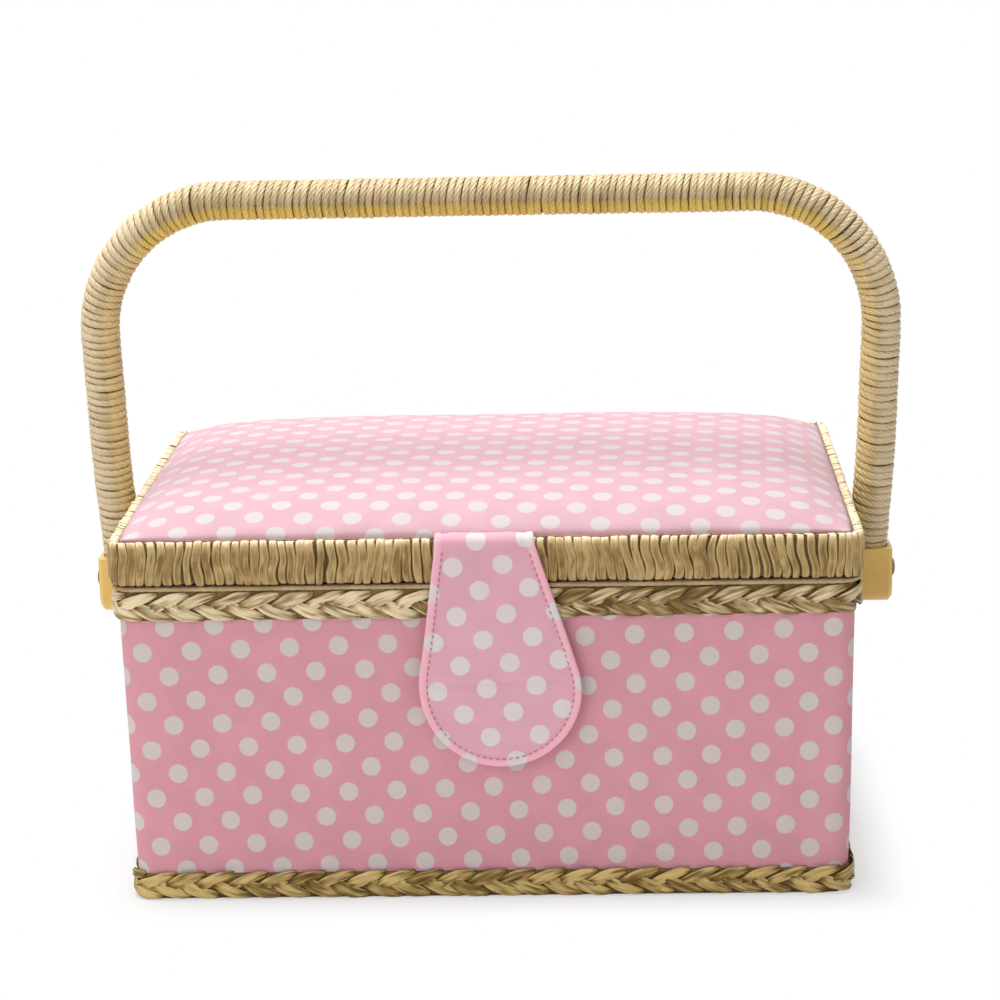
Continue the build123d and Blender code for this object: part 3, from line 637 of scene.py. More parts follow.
@dataclass
class Plait:
    """A flat raffia plait round the base: two rows of slanting leaves that come out from under each other."""

    name: str
    low: float
    high: float
    proud: float
    straw: Straw
    node: str
    seed: int
    tape: float = 0.0  # how far the tape behind reaches up past the leaves
    dim: float = 0.0  # added to the tone on the front's right and on the right side; below 0 is darker
    pitch: float = 13 * MM
    reach: float = 19 * MM
    jitter: float = 0.09
    backing_columns: int = 420
    leaf_rows: int = 14
    relief: float = 0.85 * MM
    least: float = 0.1 * MM
    ring: tuple = (0, 20, 40, 60, 80, 100, 120, 140, 160, 180, 270, 360)

    def build(self) -> Object:
        """Builds the leaves and the tape behind them."""
        rng = random.Random(self.seed)
        length = PLAN.length
        count = round(length / self.pitch)
        pitch = length / count
        bm = bmesh.new()
        for i in range(2 * count):
            self.leaf(bm, 1 if i % 2 else -1, (i / 2 + rng.uniform(-self.jitter, self.jitter)) * pitch, rng)
        capped(bm)

        def backing(a: float, b: float) -> Vector:
            """Place of a point of the tape that closes the gaps."""
            ring = 2 * pi * b
            tuck = at_hinge(a * length, 2 * MM)
            bottom, top = self.low + 0.15 * MM, self.high - 0.8 * MM + self.tape * (1 - tuck)
            z = (bottom + top) / 2 + (top - bottom) / 2 * cos(ring)
            return on_wall(a * length, (0.42 + 0.3 * sin(ring) - 0.2 * tuck) * MM, z)

        draped(bm, self.backing_columns, 8, backing, lambda a, b: (b * 9 * MM, a * length),
               {TONE_AND_SHADE: lambda a, b: -0.1 + 0.3 * ripple(a * length / (14 * MM), b)})
        return finished(self.name, bm, "base", self.straw.make(), "plait", (self.node,))

    def leaf(self, bm: BMesh, way: int, start: float, rng: random.Random) -> None:
        """Adds one leaf.

        Args:
            bm: The plait's mesh.
            way: 1 for the upper row, -1 for the lower.
            start: Where its inner end lies on the way round.
            rng: Source of its own traits.
        """
        middle, half = (self.low + self.high) / 2, (self.high - self.low) / 2
        own, slim, shine = rng.uniform(0, 90), rng.uniform(0.84, 1.16), rng.uniform(-0.35, 0.6)
        rise, lift = rng.uniform(-0.05, 0.07), rng.uniform(-0.06, 0.1)
        aside = self.dim * smooth(start, 480 * MM, 600 * MM) * (1 - smooth(start, 760 * MM, 880 * MM))

        def line(b: float) -> Vector:
            """Way and height of the leaf's middle line."""
            share = -0.42 + 1.22 * (1 - (1 - b) ** 1.45) + rise
            return Vector((start + self.reach * b, middle + way * half * share))

        def spot(a: float, b: float) -> Vector:
            """Place of a point: a round the section, b along the leaf."""
            ring = radians(pick(self.ring, a))
            along = (line(min(b + 0.02, 1)) - line(max(b - 0.02, 0))).normalized()
            v = copysign(abs(cos(ring)) ** 0.85, cos(ring))
            ridge = ripple(v * 2.7 + own, b * 2.6, 1.0) + 0.9 * ripple(v * 6.1 + own, b * 4.2, 2.0)
            width = 0.45 * half * slim * (1 - 0.46 * (2 * b - 1) ** 2) * (1 + 0.2 * ripple(b * 3.1, own, 3.0))
            depth = self.proud * (0.12 + (0.5 + lift) * sin(pi * b) ** 0.8)
            face = sin(ring)
            depth += self.relief * face * (1 + 0.85 * ridge) if face > 0 else 0.3 * MM * face
            depth += 0.32 * MM * v * way * sin(pi * b)
            flat = line(b) + Vector((-along.y, along.x)) * v * width
            z = min(max(flat.y, self.low), self.high)
            return on_wall(flat.x, min(max(depth, self.least), self.proud * 1.12), z)

        def tone(a: float, b: float) -> float:
            """Painted light and shade on a leaf: pale crinkled fibres of its own, painted shade along its edges, on its
            underside and at its ends, most where it comes out from under the next, and a painted highlight just inside
            each edge.
            """
            k = round(a * (len(self.ring) - 1))
            v = cos(radians(self.ring[k]))
            # Edges and underside: painted shade.
            if k in (0, 9, 10, 11):
                return -0.4
            fibre = ripple(v * 4.6 + own, b * 2.2, 5.0) + 0.7 * ripple(v * 9.0 + own, b * 3.0, 6.0)
            # Own tone and fibres, with a painted highlight just inside each edge.
            pale = 0.42 + shine * sin(pi * b) + 0.95 * fibre + 0.3 * bell(abs(v), 0.86, 0.12)
            # Painted shade at the ends, most where the leaf comes out from under the next.
            root = 0.9 * (1 - smooth(b, 0.1, 0.36)) + 0.35 * smooth(b, 0.82, 1.0)
            return min(max(pale - root + aside, -0.45), 1.1)

        draped(bm, len(self.ring) - 1, self.leaf_rows, spot,
               lambda a, b: (a * 13 * MM + own * MM, start + b * self.reach), {TONE_AND_SHADE: tone})


@dataclass
class RimCord:
    """The thin cord between the upper plait and the lid rim."""

    middle: float = 133.35 * MM
    radius: float = 1.0 * MM
    twist: float = 7.4 * MM
    step: float = 1.3 * MM
    off: float = 1.55 * MM
    deeper: float = 1.9 * MM
    lower: float = 1.75 * MM

    def build(self) -> Object:
        """Builds the cord with its shallow twist; it lies deeper behind the hinges."""
        length = PLAN.length
        turns = round(length / self.twist)
        bm = bmesh.new()

        def spot(a: float, b: float) -> Vector:
            """Place of a point of the cord: a along it, b round its section."""
            ring = 2 * pi * b
            size = self.radius * (0.9 + 0.1 * cos(2 * (ring - 2 * pi * turns * a)))
            size *= 1 + 0.10 * ripple(a * length / (12 * MM), 0.0, 3.3)
            tuck = at_hinge(a * length, 2 * MM)
            z = self.middle + size * sin(ring) + 0.16 * MM * ripple(a * length / (38 * MM), 1.0)
            point = on_wall(a * length, self.off + size * cos(ring) - self.deeper * tuck, z)
            point.z -= self.lower * tuck
            return point

        draped(bm, round(length / self.step), 10, spot,
               lambda a, b: (b * 6 * MM + 1.1 * a * turns * self.twist, a * length),
               {TONE_AND_SHADE: lambda a, b: 0.5 + 0.4 * ripple(a * length / (9 * MM), 2.0)})
        return finished("rim_cord_twist", bm, "base", Straw.CORD.make(), "twine", ("rim_cord",))


@dataclass(frozen=True)
class QuiltedPad:
    """A padded satin panel on a flat back, quilted in lozenges."""

    name: str
    node: str
    body: str
    corner: Vector
    across: Vector
    up: Vector
    out: Vector
    thick: float
    lozenge: float = 34 * MM
    fill: float = 0.6
    cell: float = 3.2 * MM
    rounding: float = 4 * MM
    seam: float = 2.4 * MM

    def build(self, satin: Material) -> Object:
        """Builds the pad.

        Args:
            satin: The lining's finish.

        Returns:
            The piece.
        """
        wide, tall = self.across.length, self.up.length
        columns, rows = (max(round(size / self.cell), 8) for size in (wide, tall))
        nx, ny = (max(round(size / self.lozenge), 1) for size in (wide, tall))
        seed = len(self.name) * 1.7

        def depth(a: float, b: float) -> float:
            """Height of the padded face above the back."""
            edge = min(a, 1 - a) * wide, min(b, 1 - b) * tall
            roll = 1.0
            for e in edge:
                roll *= sqrt(1 - (1 - min(e / self.rounding, 1.0)) ** 2)
            p, q = a * nx, b * ny
            seam = min(abs((p + q + 0.5) % 1 - 0.5), abs((p - q + 0.5) % 1 - 0.5)) * self.lozenge * 0.7
            groove = bell(seam, 0, self.seam) * smooth(min(edge), 2 * MM, 7 * MM)
            crease = ripple(a * wide / (7 * MM), b * tall / (7 * MM), seed) * 0.12 * MM
            return (self.thick * (1 - 0.42 * groove) + crease) * roll

        bm = bmesh.new()
        for lift in (depth, lambda a, b: 0.0):
            draped(bm, columns, rows, lambda a, b: self.corner + self.across * a + self.up * b + self.out * lift(a, b),
                   lambda a, b: (a * wide, b * tall))
        piece = finished(self.name, bm, self.body, satin, "satin", (self.node,))
        return piece


@dataclass
class Well:
    """Everything satin: the well's lining, its four padded panels and its floor."""

    floor_top: float = 4.8 * MM
    pad_top: float = 8.0 * MM
    panel_top: float = 99.4 * MM
    panel: float = 4.5 * MM
    columns: int = 320
    sheet_tall: float = 129 * MM

    def inside(self, z: float) -> Pair:
        """Half width and half depth between the linings at a height."""
        return PLAN.halves(BASE.lean_at(z) + BASE.well_in)

    def build(self, satin: Material) -> list[Object]:
        """Builds the lining, panels and floor.

        Args:
            satin: The lining's finish.

        Returns:
            The pieces.
        """
        pieces = [self.lining(satin), self.floor(satin)]
        for word, axis, way in (("front", 1, -1), ("back", 1, 1), ("left", 0, -1), ("right", 0, 1)):
            start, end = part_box(f"panel_{word}")
            foot, top, run, out = (Vector((0, 0, z)) for z in (self.pad_top, self.panel_top, 0, 0))
            for spot, z in ((foot, self.pad_top), (top, self.panel_top)):
                spot[1 - axis], spot[axis] = start[1 - axis], way * self.inside(z)[axis]
            run[1 - axis] = end[1 - axis] - start[1 - axis]
            out[axis] = -way
            pieces.append(QuiltedPad(f"satin_panel_{word}", f"panel_{word}", "base", foot, run, top - foot, out,
                                     self.panel).build(satin))
        return pieces

    def lining(self, satin: Material) -> Object:
        """The thin satin on the inside of the walls, with a turned top edge."""
        low, face = self.floor_top / MM, 7.7
        rows = [(inset * MM, z * MM) for inset, z in (
            (7.75, low), (face, 40), (face, 80), (face, 110), (face, 133.4), (7.5, 134.0), (7.1, 134.1),
            (7.05, 133.4), (7.05, 60), (7.05, low), (7.75, low))]
        length = PLAN.length

        def spot(a: float, b: float) -> Vector:
            """Place of a point of the lining."""
            inset, z = pick(rows, b)
            crease = ripple(a * length / (11 * MM), z / (20 * MM), 2.0) * 0.07 * MM if inset == face * MM else 0.0
            return on_wall(a * length, -inset + crease, z)

        bm = bmesh.new()
        draped(bm, self.columns, len(rows) - 1, spot, lambda a, b: (a * length, pick(rows, b)[1]))
        piece = finished("well_satin", bm, "base", satin, "satin", ("base_lining",))
        return piece

    def floor(self, satin: Material) -> Object:
        """The padded satin floor."""
        half_x, half_y = self.inside(self.pad_top)
        half_x, half_y = half_x - 0.2 * MM, half_y - 0.2 * MM
        corner = Vector((-half_x, -half_y, self.floor_top))
        return QuiltedPad("satin_floor", "floor_pad", "base", corner, Vector((2 * half_x, 0, 0)),
                          Vector((0, 2 * half_y, 0)), Vector((0, 0, 1)), self.pad_top - self.floor_top, 48 * MM,
                          0.5).build(satin)


@dataclass
class UnderCloth:
    """The cloth that closes the underside."""

    thick: float = 0.7 * MM
    spare: float = 0.1 * MM
    points: int = 120

    def build(self, cloth: Material) -> Object:
        """Builds the sheet with rounded corners.

        Args:
            cloth: Its finish.

        Returns:
            The piece.
        """
        lean = BASE.lean_at(0)
        plan = Plan(PLAN.half_x - lean - self.spare, PLAN.half_y - lean - self.spare)
        bm = bmesh.new()
        layer = bm.loops.layers.uv.new(CHART)
        ring = [bm.verts.new(plan.place(i / self.points * plan.length)[0]) for i in range(self.points)]
        made = bmesh.ops.extrude_face_region(bm, geom=[bm.faces.new(ring)])
        bmesh.ops.translate(bm, verts=[v for v in made["geom"] if isinstance(v, BMVert)], vec=(0, 0, self.thick))
        for face in bm.faces:
            for loop in face.loops:
                loop[layer].uv = loop.vert.co.xy
        piece = finished("under_cloth_sheet", bm, "base", cloth, "dotted_cloth", ("under_cloth",))
        for face in piece.data.polygons:
            face.use_smooth = False
        return piece


# The lid

@dataclass
class RimWinding:
    """Paper twine wound round the lid rim, one upright strand beside the next."""

    low: float = 134.8 * MM
    high: float = 153.1 * MM
    waist: float = 143.9 * MM
    thick: float = 5.2 * MM
    pitch: float = 3.86 * MM
    ply: float = 0.9 * MM
    wander: float = 2.5 * MM
    patch: float = 21 * MM
    hole: float = 2.4 * MM
    hole_z: Pair = (140.0 * MM, 147.5 * MM)
    seed: int = 7
    ring: tuple = (0, 20, 45, 70, 90, 110, 135, 160, 180, 270, 360)
    # Painted shade and highlights round the strand's section: dark grooves, pale edges, a darker hollow face and a dark
    # hidden back.
    tones: tuple = (-0.55, -0.1, 0.72, 0.26, 0.12, 0.26, 0.72, -0.1, -0.55, -0.5, -0.5)
    spots: tuple = (
        -0.5, -0.375, -0.25, -0.125, 0.0, 0.125, 0.25, 0.375, 0.5, 0.7, 1.0, 1.6, 2.1, 2.6, 3.1, 3.6, 4.2,
        4.5, 4.8, 5.0)

    def loop(self, q: float, low: float) -> tuple[Vector, Vector]:
        """Middle line of a strand round the rim's section.

        Args:
            q: Place on the way: -0.5 to 0.5 down the outer face, from there to 5 under, up inside and over the top.
            low: Height of the rim's lower face here.

        Returns:
            Inset and height as a vector, and the direction that faces off the rim, in the same plane.
        """
        inset0, inset1 = self.ply, self.thick - self.ply
        z0, z1 = low + self.ply, self.high - self.ply
        section = Plan((inset1 - inset0) / 2, (z1 - z0) / 2, 1.2 * MM)
        tall = z1 - z0
        way = q * tall if q <= 0.5 else tall / 2 + (section.length - tall) * (q - 0.5) / 4.5
        point, normal = section.place(section.length * 0.25 + way)
        return Vector(((inset0 + inset1) / 2 + point.x, (z0 + z1) / 2 + point.y)), normal.xy

    def holes(self, rng: random.Random, count: int) -> dict[int, Pair]:
        """Where two strands part: the left strand's number, with the hole's height and width."""
        parted = {}
        i = rng.randrange(8, 20)
        while i < count - 2:
            parted[i] = (rng.uniform(*self.hole_z), rng.uniform(0.45, 0.9) * MM)
            i += rng.randrange(11, 30)
        return parted

    def build(self) -> Object:
        """Builds every strand of the winding."""
        rng = random.Random(self.seed)
        length = PLAN.length
        count = round(length / self.pitch)
        pitch = length / count
        holes = self.holes(rng, count)
        bm = bmesh.new()
        for i in range(count):
            middle = (i + 0.5) * pitch
            tone = rng.random()
            proud = rng.uniform(-0.3, 0.28) * MM
            slim = rng.uniform(0.92, 1.12) if rng.random() > 0.14 else rng.uniform(0.72, 0.88)
            lean = rng.uniform(-0.4, 0.4) * MM
            own = rng.uniform(0, 40)
            edges = rng.uniform(0.35, 1.1), rng.uniform(0.35, 1.1)
            tip = rng.uniform(0.25, 0.85) * MM
            low = self.low + 1.15 * MM * at_hinge(middle, 0.5 * MM)
            right, left = holes.get(i), holes.get(i - 1)

            def spot(a: float, b: float) -> Vector:
                """Place of a point of one strand: a round its section, b along its loop."""
                line, off = self.loop(pick(self.spots, b), low)
                ring = radians(pick(self.ring, a))
                z = line.y
                outer = 1 - smooth(line.x, 1.2 * MM, 3 * MM)
                sway = ripple(middle / self.patch, z / (12 * MM), line.x / (9 * MM)) * self.wander
                sway += ripple(own, z / (9 * MM), line.x / (6 * MM)) * 0.42 * MM + lean * (z - self.waist) / (9 * MM)
                ends = smooth(abs(z - self.waist), 5.0 * MM, 9.2 * MM) * outer
                width = pitch / 2 * slim * (1.04 + 0.2 * ripple(own, z / (6 * MM), 5.0) - 0.2 * ends)
                flat = copysign(abs(cos(ring)) ** 0.8, cos(ring))
                hole = right if flat > 0 else left
                if hole and line.x < 1.5 * MM:
                    width -= hole[1] * bell(z, hole[0], self.hole) * abs(flat)
                fold = 0.3 * MM * ripple(own + flat * 1.3, z / (7 * MM), 9.0) - 0.16 * MM * (1 - flat * flat)
                lift = (self.ply + proud * 0.5) * sin(ring) + fold * (sin(ring) > 0)
                edge = line + off * (lift + proud * 0.5)
                point, _ = PLAN.place(middle + sway + width * flat, -max(edge.x, -0.28 * MM))
                crest = tip * smooth(z, 149 * MM, 152 * MM) * outer * (abs(point.x) > 25 * MM or point.y > 0)
                point.z = min(max(edge.y, low - 0.1 * MM), self.high + 0.15 * MM) + crest
                return point

            def shade(a: float, b: float) -> float:
                """Painted highlights on the edges, painted shade in the hollow face and the grooves, painted light at
                the top and bottom and over the top; strands differ a little at random.
                """
                k = round(a * (len(self.ring) - 1))
                q = pick(self.spots, b)
                side = edges[0] if k < 4 else edges[1]
                value = self.tones[k] * (side if self.tones[k] > 0.2 else 1.0)
                if k in (0, 1, 7, 8):
                    value += 0.32 * (0.4 + ripple(own + k, q * 3.0, 4.0))
                else:
                    value += 0.32 * tone + 0.5 * ripple(own + 5 * a, q * 4, 1.0)
                    # Painted light: paler at the top and bottom of the outer face and over the rim.
                    value += 0.5 * (1 - smooth(q, -0.5, -0.2)) + 0.22 * smooth(q, 0.3, 0.5) + 0.4 * (q > 0.6)
                # Painted highlight on the tips and over the rim's top.
                over = 0.6 * (1 - smooth(q, -0.5, -0.36)) * (k not in (0, 8)) + 0.5 * (q > 4)
                return min(max(value, -0.5), 0.9) + over

            draped(bm, len(self.ring) - 1, len(self.spots) - 1, spot,
                   lambda a, b: (a * 8 * MM + own * 20 * MM, b * 52 * MM), {TONE_AND_SHADE: shade})
        return finished("rim_winding", bm, "lid", Straw.RIM_TWINE.make(), "twine", ("lid_wrap",))


@dataclass
class PadCloth:
    """The crowned, padded top of the lid in dotted cotton."""

    rim: float = 4.5 * MM
    tuck: float = 0.8 * MM
    board: float = 145.9 * MM
    edge: float = 152.8 * MM
    rise: float = 15.25 * MM
    corner: float = 3 * MM
    cell: float = 2.2 * MM
    zone: float = 22 * MM
    ruck: float = 0.5 * MM
    dent: float = 0.35 * MM
    profile: tuple = (
        (4.5, 0.0), (5.3, 1.2), (7.2, 3.2), (11.4, 5.65), (15.9, 7.75), (20.5, 9.45), (25.3, 10.75), (30.2, 11.65),
        (35.2, 12.3), (40.1, 12.85), (49.6, 13.65), (61.6, 14.2), (81.6, 14.75), (113, 15.25))

    def swell(self, inset: float) -> float:
        """Share of the crown's height at a distance in from the rim's face."""
        return table(inset / MM, self.profile) / self.profile[-1][1]

    def height(self, x: float, y: float) -> float:
        """Height of the smooth crown."""
        return self.edge + self.rise * self.swell(PLAN.half_x - abs(x)) * self.swell(PLAN.half_y - abs(y))

    def rounded(self, a: float, b: float) -> Pair:
        """Squares of the grid's corners drawn in to the pad's rounded plan."""
        half_x, half_y = PLAN.halves(self.rim)
        x, y = (2 * a - 1) * half_x, (2 * b - 1) * half_y
        zone = self.zone
        u, v = (abs(x) - half_x + zone) / zone, (abs(y) - half_y + zone) / zone
        if u > 0 and v > 0:
            m = max(u, v)
            cut = (sqrt(2) - 1) * self.corner / zone * (min(u, v) / m) ** 1.5 * m * 0.72
            u, v = u * (1 - cut / hypot(u, v)), v * (1 - cut / hypot(u, v))
            x, y = copysign(half_x - zone + u * zone, x), copysign(half_y - zone + v * zone, y)
        return x, y

    def build(self, cloth: Material) -> Object:
        """Builds the pad with a skirt tucked down inside the rim.

        Args:
            cloth: The dotted cotton.

        Returns:
            The piece.
        """
        half_x, half_y = PLAN.halves(self.rim)
        arc_x = self.arc(half_x, PLAN.half_x)
        arc_y = self.arc(half_y, PLAN.half_y)

        def spot(a: float, b: float) -> Vector:
            """Place of a point of the pad."""
            x, y = self.rounded(a, b)
            z = self.height(x, y)
            near = min(half_x - abs(x), half_y - abs(y))
            way = x if half_y - abs(y) < half_x - abs(x) else y
            pull = 1 - smooth(near, 2 * MM, 24 * MM)
            z += ripple(way / (13 * MM), near / (30 * MM), 5.5) * self.ruck * pull * smooth(near, 0, 3 * MM)
            z += ripple(x / (55 * MM), y / (55 * MM), 1.2) * self.dent * smooth(near, 4 * MM, 20 * MM)
            return Vector((x, y, z))

        def chart(a: float, b: float) -> Pair:
            """Flat place of the same point of the cloth."""
            x, y = self.rounded(a, b)
            return arc_x(x), arc_y(y)

        bm = bmesh.new()
        draped(bm, round(2 * half_x / self.cell), round(2 * half_y / self.cell), spot, chart)
        shrink = Vector((1 - self.tuck / half_x, 1 - self.tuck / half_y, 1))
        edge = [e for e in bm.edges if e.is_boundary]
        for turned in (lambda co: co * shrink - Vector((0, 0, 0.3 * MM)), lambda co: Vector((co.x, co.y, self.board))):
            made = bmesh.ops.extrude_edge_only(bm, edges=edge)["geom"]
            for vert in (v for v in made if isinstance(v, BMVert)):
                vert.co = turned(vert.co)
            edge = [e for e in made if isinstance(e, BMEdge) and e.is_boundary]
        bmesh.ops.contextual_create(bm, geom=edge)
        piece = finished("pad_cloth", bm, "lid", cloth, "dotted_cloth", ("lid_cover", "lid_foam"))
        return piece

    def arc(self, reach: float, half: float) -> Callable[[float], float]:
        """Rule for the length along the crown from the middle.

        Args:
            reach: How far the cloth goes from the middle.
            half: Half of the rim's width that way.

        Returns:
            The rule, which takes a place across the crown.
        """
        step = 1 * MM
        sums = running([(i * step, self.rise * self.swell(half - i * step)) for i in range(int(reach / step) + 2)])

        def rule(x: float) -> float:
            """Length for one place."""
            t = abs(x) / step
            i = min(int(t), len(sums) - 2)
            return copysign(sums[i] + (sums[i + 1] - sums[i]) * (t - i), x)
        return rule


@dataclass
class LidSatin:
    """The padded satin on the lid's underside."""

    top: float = 142.8 * MM
    thick: float = 3.9 * MM
    inset: float = 5.3 * MM

    def build(self, satin: Material) -> Object:
        """Builds the padded lining of the lid."""
        half_x, half_y = PLAN.halves(self.inset)
        return QuiltedPad("lid_satin", "lid_lining", "lid", Vector((-half_x, half_y, self.top)),
                          Vector((2 * half_x, 0, 0)), Vector((0, -2 * half_y, 0)), Vector((0, 0, -1)), self.thick,
                          40 * MM, 0.7).build(satin)


# The flap

@dataclass
class Flap:
    """The closing flap: dotted cotton turned in round its edge, stitched, sewn in under the pad."""

    half_top: float = 20 * MM
    radius: float = 33 * MM
    round_z: float = 91.1 * MM
    fold_z: float = 151.3 * MM
    thick: float = 2.1 * MM
    columns: int = 64
    rows: int = 124
    stitch_rows: int = 4
    stitch_in: float = 3.3 * MM
    dash: float = 1.4 * MM
    gap: float = 1.3 * MM
    thread: float = 0.2 * MM
    askew: float = 6.3 * MM
    neck: float = 0.72
    root: float = 9.6 * MM
    lip: float = 0.9 * MM
    crowding: float = 1.35
    crease_z: float = 93.5 * MM
    crease: float = 0.7 * MM
    pucker: float = 0.6 * MM
    line: tuple = (
        (-106.6, 153.2), (-109.4, 154.0), (-112.2, 154.0), (-114.0, 152.9), (-114.75, 150.6), (-114.95, 145.5),
        (-115.0, 138.5), (-115.0, 131.0), (-114.9, 124.0), (-114.8, 105.0), (-114.75, 82.0), (-114.8, 58.1))

    def side(self, z: float) -> float:
        """Half width of the outline at a height."""
        rise = self.fold_z - self.round_z
        reach = hypot(self.half_top, rise)
        touch = asin(self.half_top / reach) + pi / 2 - asin(self.radius / reach)
        tx, tz = self.radius * sin(touch), self.round_z + self.radius * cos(touch)
        if z >= self.fold_z:
            return self.half_top
        if z > tz:
            return self.half_top + (tx - self.half_top) * (self.fold_z - z) / (self.fold_z - tz)
        return sqrt(max(self.radius**2 - (z - self.round_z) ** 2, 0.0))

    def drift(self, z: float) -> float:
        """How far the outline lies to the right at a height, because the cloth was cut askew."""
        return self.askew * smooth(self.fold_z - z, -25 * MM, 70 * MM) - 0.6 * MM

    def walk(self) -> list[Vector]:
        """Points of the flap's middle line, on a smooth curve through the listed spots."""
        spots = [Vector((0, y, z)) * MM for y, z in self.line]
        points = []
        for i in range(len(spots) - 1):
            p0, p1, p2, p3 = spots[max(i - 1, 0)], spots[i], spots[i + 1], spots[min(i + 2, len(spots) - 1)]
            for k in range(12):
                t = k / 12
                points.append(0.5 * (2 * p1 + (p2 - p0) * t + (2 * p0 - 5 * p1 + 4 * p2 - p3) * t**2
                                     + (3 * p1 - p0 - 3 * p2 + p3) * t**3))
        return points + [spots[-1]]

    def flat(self, a: float, b: float) -> tuple[float, float, float]:
        """Place in the flap's own flat cut.

        Args:
            a: Share across, left to right.
            b: Share along, from the root to the round end.

        Returns:
            Distance right of the middle, height that the spot has when it hangs, and distance in from the edge.
        """
        t = 2 * a - 1
        u = copysign(1 - (1 - abs(t)) ** self.crowding, t)
        root = self.fold_z + self.root
        if b < self.neck:
            z = root + (self.round_z - root) * b / self.neck
            half = self.side(z)
            return u * half, z, (1 - abs(u)) * half * 0.97
        v = (b - self.neck) / (1 - self.neck)
        v = 1 - (1 - v) ** self.crowding
        m = max(abs(u), v)
        if m < 1e-9:
            return 0.0, self.round_z, self.radius
        size = hypot(u, v)
        return self.radius * m * u / size, self.round_z - self.radius * m * v / size, self.radius * (1 - m)

    def build(self, cloth: Material) -> list[Object]:
        """Builds the flap and its stitches.

        Args:
            cloth: The dotted cotton.

        Returns:
            The pieces.
        """
        points = self.walk()
        sums = running(points)
        foot = self.round_z - self.radius

        def on_line(z: float) -> tuple[Vector, Vector]:
            """Point of the middle line, and the way off the flap's face, for a height of the flat cut."""
            i, t = found(sums, sums[-1] - (z - foot))
            along = (points[i + 1] - points[i]).normalized()
            return points[i].lerp(points[i + 1], t), Vector((0, along.z, -along.y))

        def place(x: float, z: float, inset: float, side: int) -> Vector:
            """Place of a spot of the flap's face (side 1) or back (side -1)."""
            point, off = on_line(z)
            body = self.thick / 2 * sqrt(1 - (1 - min(inset / self.lip, 1.0)) ** 2)
            if side > 0:
                inner = smooth(inset, 3 * MM, 8 * MM)
                seam = bell(inset, self.stitch_in, 0.75 * MM)
                body -= 0.34 * MM * seam + 0.30 * MM * smooth(inset, 2.6 * MM, 4.2 * MM)
                body += 0.12 * MM * ripple(x / (5 * MM), z / (5 * MM), 1.7) * (1 - smooth(inset, 2 * MM, 5 * MM))
                body -= self.crease * bell(z, self.crease_z + 0.03 * x, 2.2 * MM) * inner
                body += self.pucker * ripple(x / (16 * MM), z / (19 * MM), 7.7) * inner
            swing = 0.25 * MM * ripple(x / (26 * MM), z / (30 * MM), 2.3) * smooth(inset, 0.0, 4 * MM)
            swing *= 1 - smooth(z, 112 * MM, 125 * MM)
            return Vector((x + self.drift(z), point.y, point.z)) + off * (side * body + swing)

        def pattern(a: float, b: float) -> Pair:
            """Place on the printed cloth, which the outline was cut from askew."""
            x, z, _ = self.flat(a, b)
            return x + self.drift(z), z

        bm = bmesh.new()
        for side in (1, -1):
            draped(bm, self.columns, self.rows, lambda a, b: place(*self.flat(a, b), side),
                   pattern, {HEM: lambda a, b: 1 - smooth(self.flat(a, b)[2], 2.5 * MM, 3.6 * MM)})
        piece = finished("closing_flap", bm, None, cloth, "dotted_cloth",
                         ("flap_face", "flap_core", "flap_back", "flap_root"), weld=2e-6)
        thread = self.stitches(place)
        for made in (piece, thread):
            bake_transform(made, "lid", "flap", start=(0, -111.7 * MM, 153.4 * MM), end=(0, -115.3 * MM, 149.0 * MM))
        return [piece, thread]

    def stitches(self, place: Callable[[float, float, float, int], Vector]) -> Object:
        """Lays the row of short stitches inside the turned edge.

        Args:
            place: Gives the place of a spot of the flap from its flat cut.

        Returns:
            The piece.
        """
        inset, last = self.stitch_in, self.stitch_rows
        right: list[Pair] = []
        z = self.fold_z - 3 * MM
        while z > self.round_z:
            right.append((self.side(z) - inset, z))
            z -= 0.5 * MM
        steps = 200
        arc = [pi + pi * k / steps for k in range(steps + 1)]
        path = [(-x, z) for x, z in right]
        path += [((self.radius - inset) * cos(t), self.round_z + (self.radius - inset) * sin(t)) for t in arc]
        path += reversed(right)
        sums = running(path)
        bm = bmesh.new()
        s = 0.0
        while s + self.dash < sums[-1]:
            ends = []
            for k in range(last + 1):
                i, t = found(sums, s + self.dash * k / last)
                x, z = Vector(path[i]).lerp(Vector(path[i + 1]), t)
                face, back = place(x, z, inset, 1), place(x, z, inset, -1)
                ends.append(face + (face - back).normalized() * (0.02 * MM if k in (0, last) else 0.42 * MM))

            def spot(a: float, b: float) -> Vector:
                """Place of a point of one stitch."""
                k = round(b * last)
                along = (ends[min(k + 1, last)] - ends[max(k - 1, 0)]).normalized()
                wide = along.cross(Vector((0, -1, 0))).normalized()
                ring = 2 * pi * a
                return ends[k] + (wide * cos(ring) + wide.cross(along) * sin(ring)) * self.thread

            draped(bm, 5, last, spot, lambda a, b: (a * 1 * MM, b * 2 * MM), {TONE_AND_SHADE: lambda a, b: 0.5})
            s += self.dash + self.gap
        recipe = Recipe("hem_thread", Roughness=0.6)
        fine = recipe.noise(recipe.spot(), 2500)
        colour = recipe.mix(recipe.steps(fine, 0.35, 0.65), (0.44, 0.17, 0.25, 1), (0.54, 0.22, 0.31, 1))
        return finished("hem_stitches", bm, None, recipe.done(colour, fine, 0.05 * MM), "dotted_cloth")


# The handle

